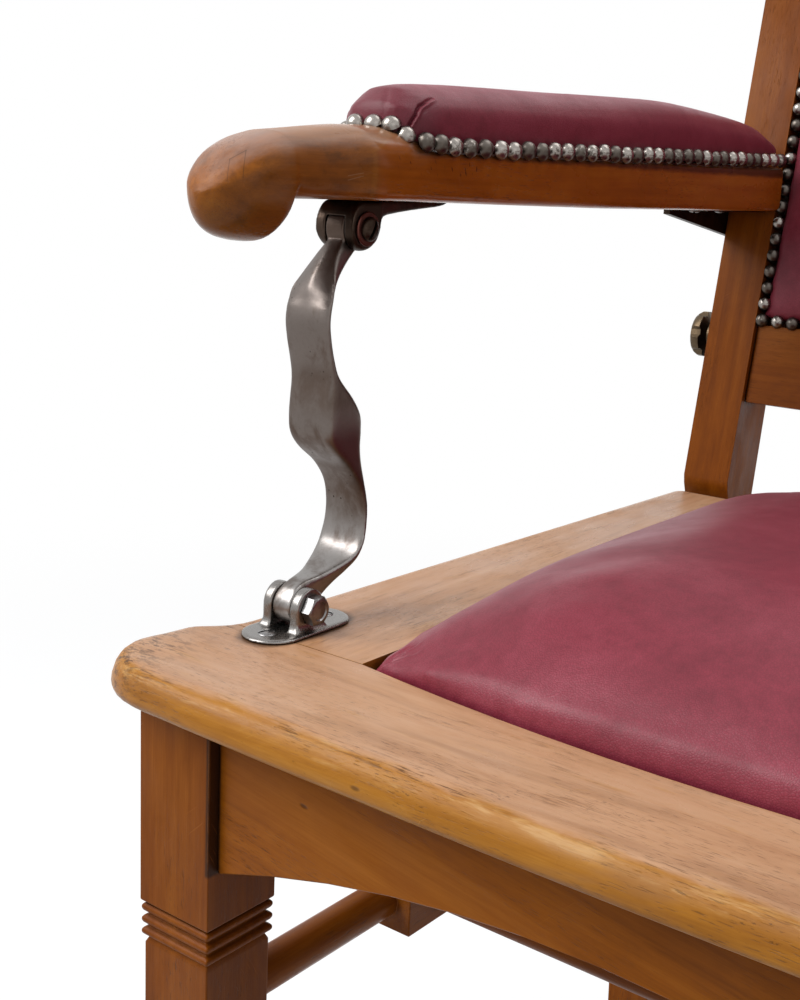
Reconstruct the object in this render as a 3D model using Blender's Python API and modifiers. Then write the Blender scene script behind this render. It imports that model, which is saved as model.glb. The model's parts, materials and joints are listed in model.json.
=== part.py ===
"""A wooden barber chair: a bow-fronted seat on square legs, a back that leans, arms that stay level on
wavy cast supports, and a headrest that slides and tilts.

Metres, +Z up. The floor is z = 0, the front faces -Y, and left is the side at -X.
"""

from math import asin, atan2, cos, hypot, pi, radians, sin, sqrt

import bmesh
import bpy
from mathutils import Matrix, Vector

# Clearances
GAP = 0.0003            # between pieces that rest on each other
PLAY = 0.0003           # between a pin and its hole, on the radius

# Seat frame: heights, spans and overhangs
SEAT_HEIGHT = 0.500     # floor to the top of the seat boards
BOARD = 0.018           # thickness of the seat boards
SPAN = 0.470            # over the outer faces of the front legs
FRONT = -0.3221         # y of the front legs' front faces
SEAT_DEPTH = 0.508      # front leg faces to the rear edge of the seat
REAR_OVERHANG = 0.018   # seat's rear edge behind the rear faces of the rear legs
REAR_INSET = 0.0105     # rear legs stand in from the front legs on each side
NOSE_MID = 0.022        # nosing in front of the legs, at the middle of the bow
NOSE_END = 0.0175       # nosing in front of the legs, where the bow ends
NOSE_CORNER = 0.020     # the rounded corner starts this far in from the leg's outer face
EAR = 0.0235            # overhang of the front board's ears
EAR_BACK = 0.016        # widest place of the ears, behind the leg faces
EAR_END = 0.038         # rear end of the ears, behind the leg faces
EAR_DRAW = 0.003        # the ears draw in this much by their rear end
SIDE_OVERHANG = 0.0053  # overhang of the side boards at their front
SIDE_TAPER = 0.0103     # the side boards' outer edges draw in this much by the rear
OGEE = 0.034            # length of the curve from ear to side edge
NOSING = (              # nosing of the boards, from the top: inset and drop
    (0.0100, 0.0000), (0.0066, 0.0008), (0.0038, 0.0030), (0.0016, 0.0065), (0.0004, 0.0102),
    (0.0000, 0.0138), (0.0008, 0.0162), (0.0026, 0.0176), (0.0045, 0.0180),
)
REAR_CORNER = 0.013     # radius of the seat's rear corners
JOINT = 0.060           # joint of the front board with the side boards, behind the leg faces
SIDE_BOARD = 0.078      # side boards' inner edges, in from the legs' outer faces
REAR_BOARD = 0.068      # width of the rear board
PAD_BOW = 0.0135        # bow of the opening's front edge

# Legs, aprons and stretchers
LEG = 0.044             # side of the square legs
BLOCK = 0.102           # height of the plain block under the seat boards
BEAD = 0.0062           # height of one reed of the collar
BEADS = 3
BEAD_GROOVE = 0.003     # depth of the grooves between reeds
LEG_WAIST = 0.041       # side of the leg under the collar
LEG_WAIST_LENGTH = 0.066
LEG_ANKLE = 0.028       # side of the leg above the foot
FOOT = 0.034            # side of the foot
FOOT_HEIGHT = 0.024
APRON = 0.020           # thickness of the aprons
APRON_SETBACK = 0.0055  # front apron's face behind the leg faces
APRON_DROP = 0.075      # depth of the aprons at their ends
APRON_ARCH = 0.034      # rise of their arched lower edges
SIDE_APRON_IN = 0.016   # side aprons' outer faces, in from the front legs' outer faces
STRETCHER_DROP = 0.177  # seat top to the stretchers' axis
STRETCHER_IN = 0.022    # side stretchers' axis, in from the front legs' outer faces
STRETCHER_RADIUS = 0.0105
HUB_FRONT = 0.157       # front shoulder of the side stretcher's square hub, behind the leg faces
HUB = Vector((0.028, 0.060, 0.034))  # size of the hub
HUB_SHIFT = 0.005       # the hub stands in from the stretcher's axis
LEDGE = Vector((0.030, 0.340, 0.022))
PAD_BASE = 0.008
PAD_CLEAR = 0.0025      # cushion to the opening's edge
PAD_RIM = 0.015         # height of the seat cushion's edge above its base
PAD_CROWN = 0.037       # further height at its middle
PAD_CORNER = 0.0025     # the cushion's corners are drawn in by this

# Arm supports and their pivots
LINK_BACK = 0.0306      # upper pivot behind the lower one
LINK_RISE = 0.175       # upper pivot above the lower one
PIVOT_RISE = 0.0122     # lower pivots above the seat top
SUPPORT_IN = 0.0235     # supports' middle plane, in from the front legs' outer faces
SUPPORT_PIVOT = 0.0745  # lower pivot behind the leg faces
EYE = 0.011             # width of the supports' eyes
EYE_RADIUS = 0.009
PIN_RADIUS = 0.004
LUG = 0.0054            # thickness of a lug
LUG_RADIUS = 0.0095
FLANGE = Vector((0.030, 0.062, 0.002))
FLANGE_BACK = 0.0025    # flange's middle behind the pivot
HEX_RADIUS = 0.0074
HEX_HEIGHT = 0.0055
NUT_RADIUS = 0.0065
NUT_HEIGHT = 0.0025

# One row for each station of the cast support, from the lower eye to the upper eye: front edge
# (back, up) and rear edge (back, up) from the lower pivot, then width and squareness.
SUPPORT_STATIONS = (
    (0.0005, 0.0080, 0.0085, -0.0030, 0.0100, 6.0),
    (0.0045, 0.0110, 0.0160, 0.0025, 0.0115, 5.0),
    (0.0115, 0.0133, 0.0213, 0.0075, 0.0152, 4.5),
    (0.0195, 0.0163, 0.0278, 0.0128, 0.0205, 4.0),
    (0.0265, 0.0197, 0.0335, 0.0190, 0.0252, 3.5),
    (0.0315, 0.0245, 0.0370, 0.0275, 0.0270, 3.0),
    (0.0340, 0.0340, 0.0388, 0.0360, 0.0262, 2.6),
    (0.0342, 0.0440, 0.0388, 0.0460, 0.0257, 2.6),
    (0.0312, 0.0540, 0.0362, 0.0565, 0.0250, 3.0),
    (0.0235, 0.0640, 0.0335, 0.0660, 0.0252, 4.5),
    (0.0130, 0.0725, 0.0315, 0.0745, 0.0270, 6.0),
    (0.0072, 0.0800, 0.0313, 0.0820, 0.0285, 6.0),
    (0.0061, 0.0890, 0.0300, 0.0900, 0.0288, 6.0),
    (0.0064, 0.0980, 0.0240, 0.0985, 0.0282, 5.0),
    (0.0067, 0.1080, 0.0145, 0.1085, 0.0270, 3.2),
    (0.0052, 0.1165, 0.0105, 0.1170, 0.0268, 2.6),
    (0.0030, 0.1250, 0.0082, 0.1255, 0.0268, 2.5),
    (0.0019, 0.1340, 0.0070, 0.1340, 0.0268, 2.5),
    (0.0035, 0.1440, 0.0085, 0.1430, 0.0264, 2.6),
    (0.0050, 0.1500, 0.0105, 0.1480, 0.0246, 3.2),
    (0.0085, 0.1565, 0.0165, 0.1535, 0.0190, 4.0),
    (0.0145, 0.1635, 0.0245, 0.1600, 0.0138, 5.0),
    (0.0205, 0.1690, 0.0320, 0.1660, 0.0110, 6.0),
    (0.0255, 0.1745, 0.0340, 0.1690, 0.0100, 6.0),
)
SUPPORT_STEPS = 2       # rings between stations
RING = 12               # points round a lofted section

# Arms. Rows run from the scroll's tip: distance back, lower and upper edge from the arm's underside,
# half the width, and squareness of the section's upper and lower halves.
ARM_UNDERSIDE = 0.2000  # arm's underside above the seat top
ARM_IN = 0.023          # arm's middle, in from the front legs' outer faces
ARM_TIP = 0.0095        # scroll's tip behind the leg faces
ARM_HALF = 0.026
ARM_TOP = 0.0240        # height of the wood under the cushion
ARM_RISE = 0.0045       # the wood is this much higher at the rear
ARM_END_CLEAR = 0.0035  # rear end of the arm to the stile's front face
ARM_NECK = 0.0965       # distance from the tip to the cushion's seat
ARM_NECK_TOP = 0.0335
SCROLL_STATIONS = (
    (0.0000, -0.0025, 0.0055, 0.0045, 2.0, 2.0),
    (0.0015, -0.0080, 0.0100, 0.0085, 2.0, 2.0),
    (0.0050, -0.0128, 0.0148, 0.0130, 2.1, 2.1),
    (0.0110, -0.0158, 0.0194, 0.0175, 2.2, 2.3),
    (0.0180, -0.0174, 0.0230, 0.0205, 2.4, 2.6),
    (0.0250, -0.0176, 0.0254, 0.0220, 2.5, 3.0),
    (0.0300, -0.0158, 0.0266, 0.0224, 2.5, 3.4),
    (0.0340, -0.0105, 0.0274, 0.0224, 2.5, 4.0),
    (0.0370, -0.0040, 0.0279, 0.0222, 2.5, 5.0),
    (0.0390, 0.0000, 0.0283, 0.0220, 2.5, 6.0),
    (0.0550, 0.0000, 0.0304, 0.0215, 2.4, 6.0),
    (0.0720, 0.0000, 0.0321, 0.0223, 2.3, 6.5),
    (0.0840, 0.0000, 0.0331, 0.0246, 2.3, 7.5),
    (0.0900, 0.0000, 0.0334, 0.0260, 2.3, 9.0),
)
ARM_SQUARE = 9.0        # squareness of the arm behind the neck
ARM_RING = 20
ARM_PAD_START = 0.0985  # cushion's front from the scroll's tip
ARM_PAD_END = 0.0060    # cushion's rear end, short of the arm's rear end
ARM_PAD_HALF = 0.0255
ARM_PAD_HEIGHT = 0.0352
ARM_PAD_NOSE = 0.018    # roundness of the cushion's front end at its base
ARM_PAD_PUFF = 0.016    # further roundness at its top
TAIL = 0.066            # front bracket's tail behind its pivot
TAIL_TIP = 0.010
ARM_PLATE = 0.0022      # thickness of the plates under the arm
SCREW_HEAD = 0.0080
REAR_PLATE = Vector((0.034, 0.090, 0.0022))
REAR_EAR = 0.0046       # thickness of the rear bracket's ear
REAR_EAR_RADIUS = 0.0115

# Back, in its own leaning frame: y' from the pivot to the rear, z' along the stile
PIVOT_BEHIND = 0.033    # back pivot behind the seat's rear edge
STILE = 0.034          # width of a stile
STILE_FRONT = 0.030     # stile's front face before the pivot
STILE_REAR = 0.018      # stile's rear face behind the pivot, at its foot
STILE_TIP = -0.002      # the same at its top
STILE_FOOT = 0.031      # radius of the rounded foot about the pivot
STILE_HEIGHT = 0.520
RAIL = 0.022            # thickness of the rails
RAIL_FRONT = 0.026      # rails' front faces before the pivot line
TOP_RAIL_DROP = 0.012   # top rail's ends below the tops of the stiles
TOP_RAIL_WIDTH = 0.068  # width of the top rail at its ends
CREST = 0.020           # rise of the top rail's middle
BOTTOM_RAIL = (0.050, 0.105)
PANEL = 0.008
BACK_PAD_EDGE = 0.003   # cushion to the frame
BACK_PAD_RIM = 0.022
BACK_PAD_CROWN = 0.018
RECLINE = radians(35)
PLATE = 0.005           # thickness of the slotted back plate
SLOT_RADIUS = 0.096     # slot's arc from the pivot
PLATE_MARGIN = 0.0090   # metal outside the slot
PLATE_BOSS = 0.016
PLATE_TAB = Vector((0.036, 0.066))   # tab on the rear leg
PLATE_UNDER = 0.004     # tab's top below the seat boards
PIVOT_PIN = 0.005
PIVOT_SOCKET = 0.018    # depth of the holes in the stiles
PIVOT_HEAD = 0.010
PIVOT_HEAD_HEIGHT = 0.006
KNOB_RADIUS = 0.0165
KNOB_LENGTH = 0.018
KNOB_SCALLOPS = 6
SCALLOP_RADIUS = 0.006

# Headrest, on the back's frame
POST = Vector((0.030, 0.010))
POST_HANG = 0.150       # post's lower end below the top rail
POST_REACH = 0.112      # pivot of the headrest above the top rail's ends
POST_EYE = 0.009
GUIDE_RISE = 0.010      # guide's lower end above the top rail's lower edge
GUIDE_LENGTH = 0.056
GUIDE_WALL = 0.006
SCREW_RISE = 0.030      # thumb screw above the guide's lower end
HEAD_REACH = 0.028      # headrest's plate before its pivot
HEAD_EAR = 0.004
HEAD_PLATE = Vector((0.060, 0.0030, 0.050))
HEAD_BOARD = Vector((0.250, 0.010, 0.110))
HEAD_PAD = 0.042
HEAD_PAD_EDGE = 0.004   # cushion over the board's edges

# Values that follow
HALF = SPAN / 2
SEAT_UNDER = SEAT_HEIGHT - BOARD
LEG_DEPTH = SEAT_DEPTH - REAR_OVERHANG   # front leg faces to the rear faces of the rear legs
PIVOT_BACK = SEAT_DEPTH + PIVOT_BEHIND   # front leg faces to the back pivot
LEAN = atan2(LINK_BACK, LINK_RISE)
LINK = hypot(LINK_BACK, LINK_RISE)
PIVOT_Z = SEAT_HEIGHT + PIVOT_RISE
BACK_PIVOT = Vector((0.0, FRONT + PIVOT_BACK, PIVOT_Z))
ARM_Z = SEAT_HEIGHT + ARM_UNDERSIDE
ARM_PIVOT = BACK_PIVOT + Vector((0.0, LINK_BACK, LINK_RISE))
STILE_OUT = HALF - REAR_INSET
STILE_IN = STILE_OUT - STILE
FRAME_HALF = STILE_IN - GAP
TOP_RAIL = (STILE_HEIGHT - TOP_RAIL_DROP - TOP_RAIL_WIDTH, STILE_HEIGHT - TOP_RAIL_DROP)
GUIDE = (TOP_RAIL[0] + GUIDE_RISE, TOP_RAIL[0] + GUIDE_RISE + GUIDE_LENGTH)
SCREW_Z = GUIDE[0] + SCREW_RISE
POST_LOW = TOP_RAIL[0] - POST_HANG
POST_HIGH = TOP_RAIL[1] + POST_REACH
OPENING_HALF = HALF - SIDE_BOARD
OPENING_REAR = FRONT + SEAT_DEPTH - REAR_BOARD
SIDES = {"left": -1, "right": 1}

# Which way a flat outline is stood up: its own x, y and thickness onto the chair's axes
UPRIGHT_ACROSS = Matrix(((1, 0, 0), (0, 0, -1), (0, 1, 0))).to_4x4()
UPRIGHT_ALONG = Matrix(((0, 0, 1), (1, 0, 0), (0, 1, 0))).to_4x4()


def clear_scene():
    for obj in list(bpy.data.objects):
        bpy.data.objects.remove(obj, do_unlink=True)


def new_collection(name):
    collection = bpy.data.collections.new(name)
    bpy.context.scene.collection.children.link(collection)
    return collection


def finish(name, colour, roughness, metallic=0.0):
    material = bpy.data.materials.new(name)
    material.use_nodes = True
    shader = material.node_tree.nodes["Principled BSDF"]
    shader.inputs["Base Color"].default_value = (*colour, 1.0)
    shader.inputs["Roughness"].default_value = roughness
    shader.inputs["Metallic"].default_value = metallic
    return material


clear_scene()
CHAIR = new_collection("barber_chair")
CUTTERS = new_collection("cutters")
WOOD = finish("honey_wood", (0.38, 0.17, 0.055), 0.38)
PLAIN_WOOD = finish("plain_wood", (0.42, 0.25, 0.12), 0.70)
LEATHER = finish("burgundy_leather", (0.22, 0.035, 0.055), 0.42)
NICKEL = finish("worn_nickel", (0.52, 0.50, 0.47), 0.30, 1.0)
BRONZE = finish("dark_bronze", (0.16, 0.12, 0.08), 0.40, 1.0)


def add_object(name, mesh, material=None, parent=None):
    """Link a mesh as a piece of the chair, or as a cutter where it has no material."""
    obj = bpy.data.objects.new(name, mesh)
    if material is None:
        CUTTERS.objects.link(obj)
        obj.hide_render = True
        obj.display_type = "WIRE"
    else:
        CHAIR.objects.link(obj)
        mesh.materials.clear()
        mesh.materials.append(material)
    obj.parent = parent
    return obj


def axis_empty(name, location, lean=0.0):
    """An empty on a joint's axis, leaning back about X."""
    empty = bpy.data.objects.new(name, None)
    CHAIR.objects.link(empty)
    empty.location = location
    empty.rotation_euler = (-lean, 0.0, 0.0)
    return empty


def mesh_from(bm, name, smooth_angle=None):
    bmesh.ops.recalc_face_normals(bm, faces=bm.faces)
    mesh = bpy.data.meshes.new(name)
    bm.to_mesh(mesh)
    bm.free()
    if smooth_angle:
        mesh.shade_smooth()
        mesh.set_sharp_from_angle(angle=smooth_angle)
    return mesh


def block(name, low, high, material=None, parent=None):
    """A plain bar or box between two corners."""
    low, high = Vector(low), Vector(high)
    bm = bmesh.new()
    bmesh.ops.create_cube(bm, size=1.0)
    bmesh.ops.scale(bm, verts=bm.verts, vec=high - low)
    bmesh.ops.translate(bm, verts=bm.verts, vec=(low + high) / 2)
    return add_object(name, mesh_from(bm, name), material, parent)


def rod(name, start, end, radius, segments=16, material=None, parent=None):
    """A round or many-sided bar from one point to another."""
    start, end = Vector(start), Vector(end)
    along = end - start
    bm = bmesh.new()
    bmesh.ops.create_cone(
        bm, cap_ends=True, segments=segments, radius1=radius, radius2=radius, depth=along.length
    )
    turn = along.to_track_quat("Z", "Y").to_matrix().to_4x4()
    bmesh.ops.transform(bm, verts=bm.verts, matrix=Matrix.Translation((start + end) / 2) @ turn)
    return add_object(name, mesh_from(bm, name, radians(40)), material, parent)


def plate(name, outlines, thickness, stand, material=None, parent=None, edge=0.0, edge_steps=3):
    """A flat outline with its holes, given a thickness and round edges, stood up by a matrix."""
    curve = bpy.data.curves.new(name, "CURVE")
    curve.dimensions = "2D"
    curve.fill_mode = "BOTH"
    curve.extrude = thickness / 2 - edge
    curve.bevel_depth = edge
    curve.bevel_resolution = edge_steps
    curve.offset = -edge
    for outline in outlines:
        spline = curve.splines.new("POLY")
        spline.points.add(len(outline) - 1)
        for point, (x, y) in zip(spline.points, outline):
            point.co = (x, y, 0.0, 1.0)
        spline.use_cyclic_u = True
    guide = bpy.data.objects.new(name + "_outline", curve)
    bpy.context.scene.collection.objects.link(guide)
    bpy.context.view_layer.update()
    mesh = bpy.data.meshes.new_from_object(
        guide.evaluated_get(bpy.context.evaluated_depsgraph_get())
    )
    bpy.data.objects.remove(guide, do_unlink=True)
    bm = bmesh.new()
    bm.from_mesh(mesh)
    bpy.data.meshes.remove(mesh)
    bmesh.ops.remove_doubles(bm, verts=bm.verts, dist=0.00001)
    bmesh.ops.transform(bm, verts=bm.verts, matrix=stand)
    return add_object(name, mesh_from(bm, name, radians(35)), material, parent)


def turned(name, profile, place, material, parent=None, steps=20, sides=None):
    """A profile of (radius, height), from top to bottom, turned about its own Z."""
    bm = bmesh.new()
    verts = [bm.verts.new((radius, 0.0, height)) for radius, height in profile]
    for upper, lower in zip(verts, verts[1:]):
        bm.edges.new((upper, lower))
    mesh = bpy.data.meshes.new(name)
    bm.to_mesh(mesh)
    bm.free()
    obj = add_object(name, mesh, material, parent)
    obj.matrix_local = place
    screw = obj.modifiers.new("turn", "SCREW")
    screw.steps = sides or steps
    screw.render_steps = screw.steps
    screw.use_merge_vertices = True
    screw.merge_threshold = 0.00001
    screw.use_smooth_shade = sides is None
    return obj


def boolean(obj, cutter, operation="DIFFERENCE"):
    modifier = obj.modifiers.new(operation.lower(), "BOOLEAN")
    modifier.object = cutter
    modifier.operation = operation
    return obj


def joined(name, pieces, holes, material, parent=None):
    """One body from pieces that meet, with holes cut through it."""
    body = pieces[0]
    body.name = name
    CUTTERS.objects.unlink(body)
    CHAIR.objects.link(body)
    body.hide_render = False
    body.display_type = "TEXTURED"
    body.data.materials.append(material)
    body.parent = parent
    for piece in pieces[1:]:
        piece.parent = parent
        boolean(body, piece, "UNION")
    for hole in holes:
        hole.parent = parent
        boolean(body, hole)
    return body


def cubic(start, lead, follow, end, steps):
    """Points on a cubic curve after its start."""
    points = []
    for i in range(1, steps + 1):
        t = i / steps
        s = 1 - t
        points.append(tuple(
            s**3 * a + 3 * s * s * t * b + 3 * s * t * t * c + t**3 * d
            for a, b, c, d in zip(start, lead, follow, end)
        ))
    return points


def arc(centre, radius, start, end, steps):
    """Points on an arc; angles run from upright towards the back or the right."""
    return [
        (centre[0] + radius * sin(a), centre[1] + radius * cos(a))
        for a in (start + (end - start) * i / steps for i in range(steps + 1))
    ]


def through(rows, steps):
    """Rows of a smooth curve through the given rows."""
    rows = [Vector(row) for row in rows]
    ends = [2 * rows[0] - rows[1], *rows, 2 * rows[-1] - rows[-2]]
    path = []
    for a, b, c, d in zip(ends, ends[1:], ends[2:], ends[3:]):
        for i in range(steps):
            t = i / steps
            path.append(
                0.5 * (2 * b + (c - a) * t + (2 * a - 5 * b + 4 * c - d) * t * t
                       + (3 * b - a - 3 * c + d) * t**3)
            )
    return [*path, rows[-1]]


def loft(name, rings, material=None, parent=None):
    """A closed skin over rings of points."""
    bm = bmesh.new()
    loops = [[bm.verts.new(point) for point in ring] for ring in rings]
    for lower, upper in zip(loops, loops[1:]):
        for i in range(len(lower)):
            bm.faces.new((lower[i - 1], lower[i], upper[i], upper[i - 1]))
    bm.faces.new(loops[0])
    bm.faces.new(loops[-1])
    return add_object(name, mesh_from(bm, name, radians(40)), material, parent)


def round_ring(centre, across, along, squareness, count):
    """A rounded rectangle of points, from its middle, two half sides and one or two squarenesses."""
    upper, lower = squareness
    ring = []
    for i in range(count):
        angle = 2 * pi * (i + 0.5) / count
        c, s = cos(angle), sin(angle)
        square = upper if s > 0 else lower
        u = abs(c) ** (2 / square) * (1 if c > 0 else -1)
        v = abs(s) ** (2 / square) * (1 if s > 0 else -1)
        ring.append(centre + across * u + along * v)
    return ring


def cushion(name, shape, cuts, material, parent=None):
    """A soft form: a block cut into squares, shaped by a rule and subdivided once."""
    bm = bmesh.new()
    bmesh.ops.create_cube(bm, size=2.0)
    bmesh.ops.subdivide_edges(bm, edges=bm.edges[:], cuts=cuts, use_grid_fill=True)
    for vert in bm.verts:
        vert.co = shape(*vert.co)
    obj = add_object(name, mesh_from(bm, name, radians(60)), material, parent)
    smooth = obj.modifiers.new("smooth", "SUBSURF")
    smooth.levels = 1
    smooth.render_levels = 1
    return obj


def dome(a, b, fullness):
    """Crown of a cushion: 1 in the middle, falling to 0 at the edges."""
    return ((1 - abs(a) ** fullness) * (1 - abs(b) ** fullness)) ** 0.8


def inset(side, distance):
    """x of a plane that lies in from the front leg's outer face on one side."""
    return SIDES[side] * (HALF - distance)


def seat_bow(x, middle, end, reach):
    """A shallow bow: its middle value at x = 0 and its end value at x = reach."""
    return middle + (end - middle) * (x / reach) ** 2


def seat_outline():
    """Plan of the seat: half of it from the front's middle to the rear's middle, then the mirror."""
    bow_end = HALF - NOSE_CORNER
    bow_steps = 8
    half = [
        (bow_end * i / bow_steps,
         FRONT - seat_bow(bow_end * i / bow_steps, NOSE_MID, NOSE_END, bow_end))
        for i in range(bow_steps + 1)
    ]
    ear = (HALF + EAR, FRONT + EAR_BACK)
    ear_end = (ear[0] - EAR_DRAW, FRONT + EAR_END)
    side = (HALF + SIDE_OVERHANG, ear_end[1] + OGEE)
    rear = HALF + SIDE_OVERHANG - SIDE_TAPER
    tense = 0.55
    half += cubic(
        half[-1],
        (bow_end + tense * (ear[0] - bow_end), half[-1][1]),
        (ear[0], ear[1] - tense * (ear[1] - half[-1][1])),
        ear, 9,
    )
    ear_step = (EAR_END - EAR_BACK) / 3
    half += cubic(ear, (ear[0], ear[1] + ear_step), (ear_end[0], ear_end[1] - ear_step), ear_end, 3)
    half += cubic(ear_end, (ear_end[0], ear_end[1] + OGEE / 2), (side[0], side[1] - OGEE / 2), side, 8)
    corner = (rear - REAR_CORNER, FRONT + SEAT_DEPTH - REAR_CORNER)
    half += arc(corner, REAR_CORNER, pi / 2, 0.0, 4)
    return half + [(-x, y) for x, y in reversed(half[1:])]


def inset_outline(outline, distance):
    """A closed outline moved inwards along its own normals."""
    moved = []
    for i, (x, y) in enumerate(outline):
        (before_x, before_y), (after_x, after_y) = outline[i - 1], outline[(i + 1) % len(outline)]
        along = Vector((after_x - before_x, after_y - before_y)).normalized()
        moved.append((x - along.y * distance, y + along.x * distance))
    return moved


def opening_outline(clear=0.0, rear_clear=0.0):
    """Plan of the cushion's opening, or of what fits in it with a clearance."""
    reach = OPENING_HALF - clear
    steps = 12
    bow = [
        (x, FRONT + clear + JOINT - PAD_BOW + seat_bow(x, 0.0, PAD_BOW, OPENING_HALF))
        for x in (reach * (2 * i / steps - 1) for i in range(steps + 1))
    ]
    return bow + [(reach, OPENING_REAR - rear_clear), (-reach, OPENING_REAR - rear_clear)]


def seat_boards():
    """Four boards cut from one bullnosed plan, so the nosing runs on across the joints."""
    level = Matrix.Translation((0, 0, SEAT_HEIGHT - BOARD / 2))
    deep = 4 * BOARD
    opening = plate("seat_opening", [opening_outline()], deep, level)
    reach = SPAN
    joint = FRONT + JOINT
    back = FRONT + SEAT_DEPTH + reach
    low, high = SEAT_UNDER - BOARD, SEAT_HEIGHT + BOARD
    cells = {
        "seat_front_board": ((-reach, FRONT - reach, low), (reach, joint - GAP / 2, high)),
        "seat_left_board": ((-reach, joint + GAP / 2, low), (-OPENING_HALF, back, high)),
        "seat_right_board": ((OPENING_HALF, joint + GAP / 2, low), (reach, back, high)),
        "seat_rear_board": (
            (GAP - OPENING_HALF, joint + JOINT, low), (OPENING_HALF - GAP, back, high)
        ),
    }
    plan = seat_outline()
    layers = [
        [Vector((x, y, SEAT_HEIGHT - drop)) for x, y in inset_outline(plan, distance)]
        for distance, drop in NOSING
    ]
    for name, (cell_low, cell_high) in cells.items():
        board = loft(name, layers, WOOD)
        boolean(board, block(name + "_cell", cell_low, cell_high), "INTERSECT")
        if name in ("seat_front_board", "seat_rear_board"):
            boolean(board, opening)


def leg_profile():
    """Half side and height down a leg, from the seat boards to the floor."""
    top = SEAT_UNDER - GAP
    half = LEG / 2
    collar = top - BLOCK
    rows = [(0.0, top), (half, top), (half, collar)]
    for i in range(BEADS):
        start = collar - i * BEAD
        rows.append((half - BEAD_GROOVE, start - BEAD * 0.12))
        for t in (0.3, 0.55, 0.8):
            rows.append((half - BEAD_GROOVE * abs(2 * t - 1.1) ** 2, start - BEAD * t))
    waist = collar - BEADS * BEAD
    rows.append((half - BEAD_GROOVE, waist))
    rows.append((LEG_WAIST / 2, waist - BEAD / 2))
    rows.append((LEG_WAIST / 2, waist - LEG_WAIST_LENGTH))
    rows.append((LEG_ANKLE / 2, FOOT_HEIGHT + BEAD))
    rows.append((FOOT / 2, FOOT_HEIGHT))
    rows.append((FOOT / 2, BEAD))
    rows += [(LEG_ANKLE / 2, 0.0), (0.0, 0.0)]
    return rows


def legs():
    square_on = Matrix.Rotation(pi / 4, 4, "Z")
    profile = [(half * sqrt(2), height) for half, height in leg_profile()]
    for side in SIDES:
        for end, y, x in (
            ("front", FRONT + LEG / 2, inset(side, LEG / 2)),
            ("rear", FRONT + LEG_DEPTH - LEG / 2, inset(side, REAR_INSET + LEG / 2)),
        ):
            turned(f"{end}_{side}_leg", profile, Matrix.Translation((x, y, 0)) @ square_on, WOOD,
                   sides=4)


def apron_outline(length):
    """An apron with an arched lower edge, its top at 0."""
    half = length / 2
    steps = 12
    arch = [
        (half * (2 * i / steps - 1),
         -APRON_DROP + APRON_ARCH * (1 - (2 * i / steps - 1) ** 2))
        for i in range(steps + 1)
    ]
    return arch + [(half, 0.0), (-half, 0.0)]


def aprons():
    top = SEAT_UNDER - GAP
    front_length = SPAN - 2 * (LEG + GAP)
    front_y = FRONT + APRON_SETBACK + APRON / 2
    rear_y = FRONT + LEG_DEPTH - APRON_SETBACK - APRON / 2
    for name, length, y in (
        ("front_apron", front_length, front_y),
        ("rear_apron", front_length - 2 * REAR_INSET, rear_y),
    ):
        stand = Matrix.Translation((0, y, top)) @ UPRIGHT_ACROSS
        plate(name, [apron_outline(length)], APRON, stand, WOOD)
    side_length = LEG_DEPTH - 2 * (LEG + GAP)
    for side in SIDES:
        x = inset(side, SIDE_APRON_IN + APRON / 2)
        stand = Matrix.Translation((x, FRONT + LEG_DEPTH / 2, top)) @ UPRIGHT_ALONG
        plate(f"{side}_apron", [apron_outline(side_length)], APRON, stand, WOOD)


def stretchers():
    """Side stretchers with a square hub, and the cross stretcher between the hubs."""
    z = SEAT_HEIGHT - STRETCHER_DROP
    waist_gap = (LEG - LEG_WAIST) / 2 - GAP
    front = FRONT + LEG - waist_gap
    rear = FRONT + LEG_DEPTH - LEG + waist_gap
    hub_y = FRONT + HUB_FRONT + HUB.y / 2
    for side in SIDES:
        x = inset(side, STRETCHER_IN)
        hub = Vector((inset(side, STRETCHER_IN + HUB_SHIFT), hub_y, z))
        bar = rod(f"{side}_stretcher", (x, front, z), (x, rear, z), STRETCHER_RADIUS, 16)
        hub_block = block(f"{side}_stretcher_hub", hub - HUB / 2, hub + HUB / 2)
        joined(f"{side}_stretcher", [bar, hub_block], [], WOOD)
    reach = HALF - STRETCHER_IN - HUB_SHIFT - HUB.x / 2 - GAP
    rod("cross_stretcher", (-reach, hub_y, z), (reach, hub_y, z), STRETCHER_RADIUS, 16, WOOD)


def seat_cushion():
    """The drop-in cushion, its base board and the ledges under it."""
    ledge_x = OPENING_HALF
    y = (FRONT + JOINT + OPENING_REAR) / 2
    for side, sign in SIDES.items():
        middle = Vector((sign * ledge_x, y, SEAT_UNDER - GAP - LEDGE.z / 2))
        block(f"{side}_pad_ledge", middle - LEDGE / 2, middle + LEDGE / 2, PLAIN_WOOD)
    stand = Matrix.Translation((0, 0, SEAT_UNDER + PAD_BASE / 2))
    plate("seat_pad_base", [opening_outline(PAD_CLEAR, PAD_CLEAR)], PAD_BASE, stand, PLAIN_WOOD)
    base = SEAT_UNDER + PAD_BASE + GAP
    reach = OPENING_HALF - PAD_CLEAR
    rear = OPENING_REAR - PAD_CLEAR

    def shape(a, b, c):
        drawn = PAD_CORNER * abs(a * b) ** 5
        x = a * (reach * (1 - 0.010 * (1 - b * b)) - drawn)
        front = FRONT + PAD_CLEAR + JOINT - PAD_BOW + seat_bow(x, 0.0, PAD_BOW, OPENING_HALF)
        y = front + (rear - front) * (b + 1) / 2 - b * drawn
        z = base + (c + 1) / 2 * (PAD_RIM + PAD_CROWN * dome(a, b, 4))
        return x, y, z

    cushion("seat_pad", shape, 6, LEATHER)


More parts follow.
